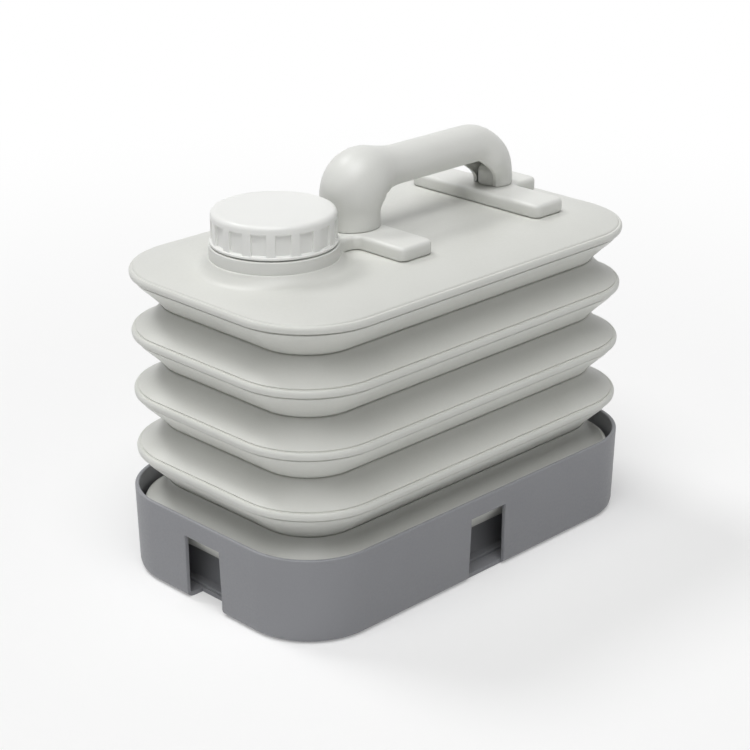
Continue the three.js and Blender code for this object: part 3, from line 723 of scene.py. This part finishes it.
    def build_base(self, shop: Workshop) -> Object:
        """Makes the floor of the tank with its lowest fold."""
        inset, foot = self.base_inset, self.depth
        lip = inset + self.base_lip
        top, bottom = self.base_crest, self.bottom
        section = [
            (self.floor_middle, bottom + 0.0012, 0.0),
            (0.0340, bottom, 0.0015),
            (foot + 0.0008, bottom, 0.0035),
            (foot - 0.0042, bottom + 0.0062, 0.004),
            (inset + self.undercut, top - self.parting_gap, 0.0004),
            (inset + self.tuck_inset, top - self.tuck_low, 0.0),
            *self.bead_at(inset, top)[:-1],
            (inset + self.shelf_inset, top + self.shelf_rise, 0.0),
            (lip, top + self.shelf_rise, 0.0004),
            (lip, top - self.parting_gap, 0.0),
            (foot + 0.0035, bottom + 0.0018, 0.0025),
            (self.floor_middle, bottom + 0.0030, 0.0),
        ]
        work = self.sweep().swept(section, closed=False)
        bmesh.ops.holes_fill(work, edges=work.edges, sides=0)
        sealed(work)
        return shop.piece("tank_floor", work, "base_body", Slot.TANK, ["tank_base"])


@dataclass
class Lid:
    """Top of the tank: a soft shoulder with hollows, and the flare round the neck.

    A hollow is the x and y of its middle, its reach both ways and its depth. The shoulder's shares
    are where its rings lie, from the groove inwards.
    """

    tank: BellowsTank
    top: float = 0.2126
    shoulder: float = 0.044
    power: float = 2.3
    wall: float = 0.0018
    flare: float = 0.0500
    mouth: float = 0.0404
    flare_top: float = 0.2180
    flare_power: float = 2.6
    flare_steps: int = 96
    hollows: Sequence[tuple[float, float, float, float, float]] = (
        (-0.128, -0.018, 0.024, 0.030, 0.0009),
        (0.042, -0.036, 0.036, 0.019, 0.0011),
        (0.042, 0.038, 0.036, 0.019, 0.0008),
    )
    shoulder_shares: Sequence[float] = (
        0.05, 0.09, 0.14, 0.2, 0.27, 0.35, 0.44, 0.54, 0.65, 0.76, 0.88, 1.0
    )
    flare_shares: Sequence[float] = (
        0.0, 0.1, 0.2, 0.3, 0.4, 0.5, 0.6, 0.7, 0.8, 0.88, 0.95, 1.0
    )

    def dome(self, place: Vector) -> float:
        """Height of the lid's outside at a place seen from above, with its soft hollows."""
        groove = self.tank.crest(1) + self.tank.bead
        run = max(self.tank.sweep().inset_of(place) - self.tank.groove, 0.0)
        share = min(run / self.shoulder, 1.0)
        height = groove + (self.top - groove) * (1.0 - (1.0 - share) ** self.power)
        return height - sum(
            depth * math.exp(-((place.x - x) / reach_x) ** 2 - ((place.y - y) / reach_y) ** 2)
            for x, y, reach_x, reach_y, depth in self.hollows
        )

    def build(self, shop: Workshop) -> Object:
        """Sweeps the shoulder, fills the middle with a grid and shapes it.

        Args:
            shop: Where the piece is dressed.

        Returns:
            The lid.
        """
        tank = self.tank
        crest, groove = tank.crest(1), tank.crest(1) + tank.bead
        lift = 0.001
        sweep = tank.sweep(long_spans=60, short_spans=24)
        work = sweep.swept([
            *tank.bead_at(0.0, crest),
            *[
                (tank.groove + self.shoulder * share, groove + lift, 0.0)
                for share in self.shoulder_shares
            ],
        ], closed=False)
        limit = tank.groove + self.shoulder - 0.0001
        ring = [
            edge for edge in work.edges
            if edge.is_boundary and all(sweep.inset_of(point.co) > limit for point in edge.verts)
        ]
        bmesh.ops.grid_fill(
            work, edges=[edge for edge in ring if self.on_long_side(edge)], use_smooth=True,
            use_interp_simple=False,
        )
        for point in work.verts:
            if point.co.z > groove + lift / 2:
                point.co.z = self.dome(point.co)
        self.open_neck(work)
        sealed(work)
        piece = shop.piece("lid_dome", work, "lid_body", Slot.TANK, ["lid_shell"])
        wall = piece.modifiers.new("wall", "SOLIDIFY")
        wall.thickness = self.wall
        wall.offset = -1.0
        wall.use_even_offset = False
        return piece

    def on_long_side(self, edge: BMEdge) -> bool:
        """Whether an edge of the inner ring lies between the corners' diagonals on a long side."""
        middle = (edge.verts[0].co + edge.verts[1].co) / 2
        past_end = abs(middle.x) - (self.tank.length / 2 - self.tank.corner)
        past_side = abs(middle.y) - (self.tank.width / 2 - self.tank.corner)
        return past_side > past_end

    def open_neck(self, work: BMesh) -> None:
        """Opens the lid for the neck and raises a soft flare round the opening."""
        middle = Vector((NECK_X, 0.0))
        opening, lid_skin = self.flare + 0.0016, self.top - 0.006
        cut = [
            point for point in work.verts
            if (point.co.xy - middle).length < opening and point.co.z > lid_skin
        ]
        bmesh.ops.delete(work, geom=cut, context="VERTS")
        known = set(work.verts)
        span = self.flare - self.mouth
        rings = [(self.flare - span * share, 0.0, 0.0) for share in self.flare_shares]
        join(work, spun(rings, self.flare_steps, NECK_X))
        for point in [point for point in work.verts if point not in known]:
            share = (self.flare - (point.co.xy - middle).length) / span
            base = self.dome(point.co)
            point.co.z = base + (self.flare_top - base) * max(share, 0.0) ** self.flare_power
        nearest, farthest = self.flare - 0.0005, self.flare + 0.012
        rim = [
            edge for edge in work.edges
            if edge.is_boundary
            and nearest < (edge.verts[0].co.xy - middle).length < farthest
        ]
        bmesh.ops.triangle_fill(work, edges=rim, use_beauty=True, normal=UP)


@dataclass
class Mouth:
    """Threaded neck with its collar, the screw cap and the sealing disc, on one upright axis."""

    bore: float = 0.030
    tube: float = 0.0332
    sleeve: float = 0.035
    flange: float = 0.038
    flange_low: float = 0.2061
    flange_high: float = 0.2085
    collar: float = 0.040
    collar_low: float = 0.2159
    collar_high: float = 0.2257
    tube_top: float = 0.2430
    thread_height: float = 0.0016
    thread_pitch: float = 0.005
    thread_start: float = 0.2302
    thread_foot: float = 0.0012
    thread_tip: float = 0.0006
    thread_steps: int = 48
    neck_turns: float = 1.5
    neck_sink: float = 0.0004
    cap_turns: float = 1.35
    cap_sink: float = 0.0003
    cap_thread: float = 0.0013
    run_out: float = 0.12
    neck_steps: int = 96
    cap_low: float = 0.2266
    cap_high: float = 0.2473
    cap_inside: float = 0.0353
    cap_outside: float = 0.0384
    cap_foot: float = 0.0393
    cap_panel: float = 0.0367
    cap_ceiling: float = 0.2451
    cap_round: float = 0.0030
    panel_rise: float = 0.0021
    band: float = 0.0054
    panel_round: float = 0.00025
    rib_count: int = 16
    steps_per_rib: int = 8
    rib_steps: int = 3
    disc: float = 0.0344
    disc_top: float = 0.2448
    disc_rim: float = 0.2433
    disc_middle: float = 0.2435
    disc_steps: int = 72

    def thread(self, root: float, crest: float, turns: float, turned_by: float) -> BMesh:
        """Turns a trapezoid section up a helix whose ends run out flat.

        Args:
            root: Radius at the foot of the thread.
            crest: Radius at its crest.
            turns: Number of turns.
            turned_by: Turn at which it starts.

        Returns:
            The thread as a closed bmesh.
        """
        work = bmesh.new()
        section = [
            (root, self.thread_start - self.thread_foot, 0.0),
            (crest, self.thread_start - self.thread_tip, 0.0),
            (crest, self.thread_start + self.thread_tip, 0.0),
            (root, self.thread_start + self.thread_foot, 0.0),
        ]
        edges = drawn(work, section, closed=True)
        start = bmesh.ops.contextual_create(work, geom=edges)["faces"]
        bmesh.ops.spin(
            work, geom=[*ends(edges), *edges, *start], cent=(0.0, 0.0, 0.0), axis=UP,
            dvec=(0.0, 0.0, self.thread_pitch / self.thread_steps), angle=2 * math.pi * turns,
            steps=round(turns * self.thread_steps), use_merge=False,
        )
        whole = self.thread_pitch * turns
        for point in work.verts:
            share = (point.co.z - self.thread_start) / whole
            rise = eased(min(share, 1.0 - share) * turns / self.run_out)
            radius = point.co.xy.length
            point.co.xy *= (root + (radius - root) * rise) / radius
        turned(work, 2 * math.pi * turned_by)
        bmesh.ops.recalc_face_normals(work, faces=work.faces)
        return work

    def build_neck(self, shop: Workshop) -> Object:
        """Makes the neck: flange, sleeve, collar, tube and thread."""
        work = spun([
            (self.bore, self.flange_low, 0.0004),
            (self.flange, self.flange_low, 0.0005),
            (self.flange, self.flange_high, 0.0005),
            (self.sleeve, self.flange_high, 0.0),
            (self.sleeve, self.collar_low, 0.0),
            (self.collar, self.collar_low, 0.0004),
            (self.collar, self.collar_high, 0.0006),
            (self.tube, self.collar_high, 0.0006),
            (self.tube, self.tube_top, 0.0008),
            (self.bore, self.tube_top, 0.0008),
        ], self.neck_steps, closed=True)
        root, crest = self.tube - self.neck_sink, self.tube + self.thread_height
        join(work, self.thread(root, crest, self.neck_turns, turned_by=0.0))
        moved(work, NECK_X, 0.0, 0.0)
        return shop.piece("neck_collar", work, "lid_body", Slot.FITTINGS, ["threaded_neck"])

    def build_cap(self, shop: Workshop) -> Object:
        """Makes the cap: foot ring, ribs between sunk panels, plain band, soft top and thread.

        Args:
            shop: Where the piece is dressed.

        Returns:
            The cap.
        """
        panel_low, panel_high = self.cap_low + self.panel_rise, self.cap_high - self.band
        steps = self.rib_count * self.steps_per_rib
        work = spun([
            (0.0, self.cap_ceiling, 0.0),
            (self.cap_inside, self.cap_ceiling, 0.0008),
            (self.cap_inside, self.cap_low, 0.0004),
            (self.cap_foot, self.cap_low, 0.0005),
            (self.cap_foot, self.cap_low + 0.0016, 0.0005),
            (self.cap_outside, self.cap_low + 0.0018, 0.0),
            (self.cap_outside, panel_low, 0.0),
            (self.cap_outside, panel_high, 0.0),
            (self.cap_outside, self.cap_high - 0.0002, self.cap_round),
            (self.cap_outside * 0.86, self.cap_high, 0.0),
            (0.0, self.cap_high, 0.0),
        ], steps)
        turned(work, -self.rib_steps * math.pi / steps)
        self.sink_panels(work, panel_low, panel_high)
        root, crest = self.cap_inside + self.cap_sink, self.cap_inside - self.cap_thread
        join(work, self.thread(root, crest, self.cap_turns, turned_by=0.5))
        moved(work, NECK_X, 0.0, 0.0)
        # The cap takes the whiter copy of the fittings' finish, whose extra whiteness is painted
        # light.
        return shop.piece(
            "screw_cap_ribbed", work, "cap_body", Slot.FITTINGS, ["screw_cap"], crease=32.0,
            finish=CAP_PAINTED_LIGHT_FINISH,
        )

    def sink_panels(self, work: BMesh, low: float, high: float) -> None:
        """Sinks the panels between the ribs and rounds their edges.

        Args:
            work: The cap's bmesh.
            low: Lower end of the panels.
            high: Upper end of the panels.
        """
        sector = 2 * math.pi / self.rib_count
        rib_share = self.rib_steps / self.steps_per_rib / 2
        slack = 0.0001

        def on_panel(face: BMFace) -> bool:
            """Whether a face of the cap's side lies between two ribs."""
            middle = face.calc_center_median()
            share = math.atan2(middle.y, middle.x) / sector % 1.0
            return (
                low < middle.z < high and middle.xy.length > self.cap_panel
                and rib_share < share < 1.0 - rib_share
            )

        panels = [face for face in work.faces if on_panel(face)]
        made = bmesh.ops.extrude_face_region(work, geom=panels)["geom"]
        for point in picked(made, BMVert):
            point.co.xy *= self.cap_panel / self.cap_outside
        bmesh.ops.delete(work, geom=[face for face in panels if face.is_valid], context="FACES")
        sealed(work)
        sharp = [
            edge for edge in work.edges
            if low - slack < (edge.verts[0].co.z + edge.verts[1].co.z) / 2 < high + slack
            and len(edge.link_faces) == 2
            and edge.calc_face_angle(0.0) > SHARP_ANGLE
            and edge.verts[0].co.xy.length > self.cap_panel - slack
        ]
        bevelled(work, sharp, self.panel_round, segments=1)

    def build_liner(self, shop: Workshop) -> Object:
        """Makes the sealing disc with its raised rim."""
        work = spun([
            (0.0, self.disc_middle, 0.0),
            (0.0285, self.disc_middle, 0.0004),
            (0.0288, self.disc_rim, 0.0),
            (self.disc, self.disc_rim, 0.0003),
            (self.disc, self.disc_top, 0.0003),
            (0.0, self.disc_top, 0.0),
        ], self.disc_steps, NECK_X)
        return shop.piece("sealing_disc", work, "liner_body", Slot.LINER, ["cap_liner"])


@dataclass
class CrossPlate:
    """Plate across the lid that carries one leg of the handle, with a tab along the lid.

    The tab's end is a distance from the plate's middle, or None where it ends at the collar.
    """

    name: str
    node: str
    x: float
    leg_x: float
    tab_half: float
    tab_end: float | None = None
    tip_steps: int = 4
    low: float = 0.2108
    high: float = 0.2220
    half_width: float = 0.014
    half_length: float = 0.057
    corner: float = 0.0050
    edge: float = 0.0028
    edge_steps: int = 5
    under: float = 0.2133
    under_edge: float = 0.0007
    under_steps: int = 2
    foot_inset: float = 0.0015
    collar_clear: float = 0.0413
    spigot: float = 0.006
    spigot_sink: float = 0.002
    spigot_top: float = 0.2310
    spigot_steps: int = 32

    def outline(self, inset: float) -> Section:
        """Outline from above, drawn in by an inset, with the tab pointing along +X.

        Args:
            inset: How far the outline is drawn in.

        Returns:
            Points as x, y and round.
        """
        corner = self.corner
        wide, long, tab = (
            size - inset for size in (self.half_width, self.half_length, self.tab_half)
        )
        if self.tab_end is None:
            middle, clear = self.x - NECK_X, self.collar_clear + inset
            steps = self.tip_steps
            sides = [tab * step / steps for step in range(-steps, steps + 1)]
            tip = [(middle - math.sqrt(clear ** 2 - y ** 2), y, 0.0) for y in sides]
        else:
            end = self.tab_end - inset
            tip = [(end, -tab, corner), (end, tab, corner)]
        return [
            (-wide, -long, corner), (wide, -long, corner), (wide, -tab, corner),
            *tip,
            (wide, tab, corner), (wide, long, corner), (-wide, long, corner),
        ]

    def slab(self, inset: float, low: float, high: float) -> BMesh:
        """Closed slab with the plate's outline.

        Args:
            inset: How far the outline is drawn in.
            low: Height of the underside.
            high: Height of the top.

        Returns:
            The slab's bmesh.
        """
        work = bmesh.new()
        edges = drawn(work, self.outline(inset), closed=True)
        turned(work, -QUARTER, "X")
        base = bmesh.ops.contextual_create(work, geom=edges)["faces"]
        moved(work, 0.0, 0.0, low)
        made = bmesh.ops.extrude_face_region(work, geom=base)["geom"]
        bmesh.ops.translate(work, verts=picked(made, BMVert), vec=(0.0, 0.0, high - low))
        return sealed(work)

    def build(self, shop: Workshop) -> Object:
        """Raises the outline to a plate with a rounded top edge, a drawn-in foot and a spigot.

        Args:
            shop: Where the piece is dressed.

        Returns:
            The plate.
        """
        work = self.slab(0.0, self.under, self.high)
        for level, size, steps in (
            (self.high, self.edge, self.edge_steps),
            (self.under, self.under_edge, self.under_steps),
        ):
            rim = [
                edge for edge in work.edges
                if all(abs(point.co.z - level) < LEVEL_SLACK for point in edge.verts)
            ]
            bevelled(work, rim, size, steps)
        join(work, self.slab(self.foot_inset, self.low, self.under + self.under_edge))
        if self.tab_end is None:
            turned(work, math.pi)
        moved(work, self.x, 0.0, 0.0)
        peg_low = self.high - self.spigot_sink
        peg = spun([
            (0.0, peg_low, 0.0),
            (self.spigot, peg_low, 0.0),
            (self.spigot, self.spigot_top, 0.0008),
            (0.0, self.spigot_top, 0.0),
        ], self.spigot_steps, self.leg_x)
        join(work, peg)
        return shop.piece(self.name, work, "lid_body", Slot.FITTINGS, [self.node])


@dataclass
class Handle:
    """Round grip, open below, that swells to a fat front leg and bends down to a slim rear leg."""

    foot: float = 0.2223
    axis: float = 0.2525
    front_bend: float = 0.020
    rear_bend: float = 0.028
    grip: float = 0.0137
    front_foot: float = 0.0184
    front_shoulder: float = 0.0186
    rear_leg: float = 0.0130
    swell: float = 0.002
    taper: float = 0.020
    under_taper: float = 0.012
    inner_foot: float = 0.0010
    corner_web: float = 0.0016
    web_reach: float = 0.0026
    gusset: float = 0.0075
    opening: float = 0.62
    skin: float = 0.0024
    rim_round: float = 0.0005
    boss_foot: float = 0.0099
    boss_top: float = 0.0070
    boss_rise: float = 0.0092
    boss_high: float = 0.2352
    sides: int = 88
    boss_steps: int = 40
    leg_steps: int = 4
    bend_steps: int = 14
    grip_shares: Sequence[float] = (
        0.014, 0.03, 0.06, 0.12, 0.18, 0.24, 0.3, 0.38, 0.5, 0.64, 0.78, 0.9
    )

    def stations(self) -> Iterator[tuple[float, float, float]]:
        """Gives the stations along the middle of the handle.

        Yields:
            Places as x, z and the angle turned from straight up.
        """
        rise = self.axis - self.front_bend - self.foot
        start, end = FRONT_LEG_X + self.front_bend, REAR_LEG_X - self.rear_bend
        angles = [step / self.bend_steps * QUARTER for step in range(self.bend_steps + 1)]
        for step in range(self.leg_steps):
            yield FRONT_LEG_X, self.foot + rise * step / self.leg_steps, 0.0
        for angle in angles:
            x = FRONT_LEG_X + self.front_bend * (1.0 - math.cos(angle))
            yield x, self.axis - self.front_bend * (1.0 - math.sin(angle)), angle
        for share in self.grip_shares:
            yield start + (end - start) * share, self.axis, QUARTER
        for angle in angles:
            x = end + self.rear_bend * math.sin(angle)
            yield x, self.axis - self.rear_bend * (1.0 - math.cos(angle)), QUARTER + angle
        yield REAR_LEG_X, self.foot, math.pi

    def radius(self, x: float, angle: float, taper: float) -> float:
        """Radius at a station, eased between the named radii.

        Args:
            x: Place of the station along the lid.
            angle: Angle turned from straight up.
            taper: How far past the front bend the radius still shrinks.

        Returns:
            The radius in metres.
        """
        half = math.pi / 4
        shoulder_x = FRONT_LEG_X + self.front_bend * (1.0 - math.sqrt(0.5))
        taper_end = FRONT_LEG_X + self.front_bend + taper
        if angle <= half:
            start, end, share = self.front_foot, self.front_shoulder, angle / half
        elif x < taper_end:
            start, end = self.front_shoulder, self.grip
            share = (x - shoulder_x) / (taper_end - shoulder_x)
        else:
            start, end, share = self.grip, self.rear_leg, (angle - 2 * half) / half
        return start + (end - start) * eased(share)

    def radii(self, x: float, angle: float) -> tuple[float, float, float]:
        """Radii of a station with what its bends add.

        Args:
            x: Place of the station along the lid.
            angle: Angle turned from straight up.

        Returns:
            Radius outside the bend, radius inside it, and the shift of both outwards.
        """
        swell = self.swell * math.sin(2 * angle) if angle < QUARTER else 0.0
        upper = self.radius(x, angle, self.taper) + swell
        lower = self.radius(x, angle, self.under_taper) + swell
        if angle > QUARTER:
            lower += self.gusset * math.sin(2 * angle - math.pi) ** 2
        else:
            past = (x - FRONT_LEG_X - self.front_bend) / self.web_reach
            lower += self.inner_foot * math.cos(angle)
            lower += self.corner_web * math.exp(-past ** 2)
        return upper, lower, swell

    def section(self, number: int, upper: float, lower: float) -> tuple[float, float]:
        """Place of one corner of the open section, out of the bend and sideways.

        Args:
            number: Number of the corner, outer skin first and inner skin back again.
            upper: Radius on the outer side of the bend.
            lower: Radius on its inner side.

        Returns:
            Distances from the middle line, outwards and sideways.
        """
        half = self.sides // 2
        on_skin = number < half
        share = (number if on_skin else self.sides - 1 - number) / (half - 1) * 2.0 - 1.0
        thinned = lower if on_skin else lower - self.skin
        angle = share * math.acos(-self.opening * lower / thinned)
        radius = lower + (upper - lower) * (math.cos(angle) + 1.0) / 2.0
        if not on_skin:
            radius -= self.skin
        return radius * math.cos(angle), radius * math.sin(angle)

    def build(self, shop: Workshop) -> Object:
        """Draws the open section along the stations, rounds its rims and sets the screw bosses in.

        Args:
            shop: Where the piece is dressed.

        Returns:
            The handle.
        """
        work = bmesh.new()
        ring = bmesh.ops.create_circle(
            work, cap_ends=False, segments=self.sides, radius=1.0
        )["verts"]
        edges = list(work.edges)
        for number, (x, z, angle) in enumerate(self.stations()):
            if number:
                ring, edges = extruded(work, edges)
            upper, lower, shift = self.radii(x, angle)
            for corner, point in enumerate(ring):
                out, aside = self.section(corner, upper, lower)
                out += shift
                point.co = (x - out * math.cos(angle), aside, z + out * math.sin(angle))
        bmesh.ops.holes_fill(work, edges=work.edges, sides=0)
        sealed(work)
        rims = [edge for edge in work.edges if edge.calc_face_angle(0.0) > SHARP_ANGLE]
        bevelled(work, rims, self.rim_round, segments=3)
        for leg_x in (FRONT_LEG_X, REAR_LEG_X):
            join(work, spun([
                (0.0, self.foot, 0.0),
                (self.boss_foot, self.foot, 0.0004),
                (self.boss_foot, self.foot + self.boss_rise, 0.0010),
                (self.boss_top, self.boss_high, 0.0012),
                (0.0, self.boss_high, 0.0),
            ], self.boss_steps, leg_x))
        return shop.piece(
            "carry_handle", work, "lid_body", Slot.FITTINGS, ["handle_grip"], crease=50.0
        )


@dataclass
class GripScrew:
    """Screw up through a cross plate into a leg of the handle."""

    name: str
    node: str
    x: float
    head_low: float = 0.2138
    head: float = 0.0046
    head_height: float = 0.0026
    socket: float = 0.0018
    socket_depth: float = 0.0014
    shank: float = 0.0022
    point: float = 0.0006
    point_length: float = 0.0012
    tip: float = 0.2335
    steps: int = 36

    def build(self, shop: Workshop) -> Object:
        """Turns the head with its round socket, the shank and the point."""
        socket_top = self.head_low + self.socket_depth
        head_high = self.head_low + self.head_height
        work = spun([
            (0.0, socket_top, 0.0),
            (self.socket, socket_top, 0.0),
            (self.socket, self.head_low, 0.0),
            (self.head, self.head_low, 0.0005),
            (self.head, head_high, 0.0003),
            (self.shank, head_high, 0.0),
            (self.shank, self.tip - self.point_length, 0.0),
            (self.point, self.tip, 0.0),
            (0.0, self.tip, 0.0),
        ], self.steps, self.x)
        return shop.piece(self.name, work, "lid_body", Slot.SCREWS, [self.node])


@dataclass(frozen=True)
class Lamp:
    """Very wide, even lamp far off.

    It has a direction from the object, a width as an angle in degrees, and a light on a surface
    that faces it.
    """

    name: str
    toward: tuple[float, float, float]
    spread: float
    strength: float

    def hang(self) -> None:
        """Hangs the lamp in the scene."""
        data = bpy.data.lights.new(self.name, "SUN")
        data.energy = self.strength
        data.angle = math.radians(self.spread)
        aimed(placed(self.name, data), self.toward, -Vector(self.toward))


@dataclass
class Studio:
    """Pale floor, soft lamps, white world and the camera of the photograph."""

    floor_radius: float = 9.0
    floor_sides: int = 96
    floor_white: float = 0.93
    near_share: float = 0.30
    shade_reach: float = 0.16
    white_reach: float = 1.1
    world_light: float = 0.03
    lens: float = 93.46
    sensor: float = 36.0
    clip: tuple[float, float] = (0.01, 60.0)
    camera_at: tuple[float, float, float] = (-0.84391, -0.83795, 0.59503)
    camera_toward: tuple[float, float, float] = (0.65435, 0.65579, -0.37651)
    lamps: Sequence[Lamp] = (
        Lamp("overhead_dome", (-0.28, -0.22, 0.93), 46.0, 2.25),
        Lamp("front_fill", (-0.55, -0.80, 0.10), 50.0, 0.06),
        Lamp("rear_key", (-0.12, 0.55, 0.83), 18.0, 0.9),
    )

    def build(self) -> None:
        """Builds the floor, the world, the lamps and the camera."""
        self.lay_floor()
        self.light_world()
        for lamp in self.lamps:
            lamp.hang()
        self.place_camera()

    def lay_floor(self) -> None:
        """Lays a wide round floor that keeps the shadow near the tray and is white far out."""
        work = bmesh.new()
        bmesh.ops.create_circle(
            work, cap_ends=True, segments=self.floor_sides, radius=self.floor_radius
        )
        mesh = bpy.data.meshes.new("studio_floor")
        work.to_mesh(mesh)
        work.free()
        floor = placed("studio_floor", mesh)
        sheet = NodeSheet(bpy.data.materials.new("studio_floor"))
        plain = sheet.add("ShaderNodeBsdfDiffuse", Color=(*(self.floor_white,) * 3, 1.0))
        glow = sheet.add("ShaderNodeEmission", Strength=1.0)
        place = sheet.add("ShaderNodeTexCoord").outputs["Object"]
        reach = sheet.add("ShaderNodeVectorMath", place, operation="LENGTH")
        far = sheet.add(
            "ShaderNodeMapRange", interpolation_type="SMOOTHSTEP", From_Min=self.shade_reach,
            From_Max=self.white_reach, To_Min=self.near_share, To_Max=1.0,
            Value=reach.outputs["Value"],
        )
        share = sheet.combined("MULTIPLY", far.outputs["Result"], sheet.shown())
        mix = sheet.add(
            "ShaderNodeMixShader", share, plain.outputs["BSDF"], glow.outputs["Emission"]
        )
        sheet.add("ShaderNodeOutputMaterial", Surface=mix.outputs["Shader"])
        mesh.materials.append(sheet.owner)

    def light_world(self) -> None:
        """Gives the world an even soft light and a white look."""
        sheet = NodeSheet(bpy.data.worlds.new("studio_world"))
        strength = sheet.add(
            "ShaderNodeMapRange", To_Min=self.world_light, To_Max=1.0, Value=sheet.shown()
        )
        background = sheet.add(
            "ShaderNodeBackground", Color=(1.0, 1.0, 1.0, 1.0),
            Strength=strength.outputs["Result"],
        )
        sheet.add("ShaderNodeOutputWorld", Surface=background.outputs["Background"])
        bpy.context.scene.world = sheet.owner

    def place_camera(self) -> None:
        """Sets the camera at the photograph's place and angle."""
        data = bpy.data.cameras.new("photo_camera")
        data.sensor_width = self.sensor
        data.lens = self.lens
        data.clip_start, data.clip_end = self.clip
        camera = placed("photo_camera", data)
        aimed(camera, self.camera_at, Vector(self.camera_toward))
        bpy.context.scene.camera = camera
        bpy.context.scene.view_settings.view_transform = "Standard"


def main() -> None:
    """Builds the pieces, the light and the camera in order."""
    logging.basicConfig(level=logging.INFO, format="%(message)s")
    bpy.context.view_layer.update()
    shop = Workshop()
    BaseTray().build(shop)
    tank = BellowsTank()
    tank.build_base(shop)
    for fold in (4, 3, 2, 1):
        tank.build_web(shop, fold)
        if fold > 1:
            tank.build_crest(shop, fold)
    Lid(tank).build(shop)
    mouth = Mouth()
    mouth.build_neck(shop)
    mouth.build_cap(shop)
    mouth.build_liner(shop)
    CrossPlate(
        "cross_plate_front", "front_cross_plate", x=-0.027, leg_x=FRONT_LEG_X, tab_half=0.0175
    ).build(shop)
    CrossPlate(
        "cross_plate_rear", "rear_cross_plate", x=0.0975, leg_x=REAR_LEG_X, tab_half=0.0128,
        tab_end=0.038,
    ).build(shop)
    Handle().build(shop)
    GripScrew("grip_screw_front", "front_grip_screw", x=FRONT_LEG_X).build(shop)
    GripScrew("grip_screw_rear", "rear_grip_screw", x=REAR_LEG_X).build(shop)
    Studio().build()


if __name__ == "__main__":
    main()
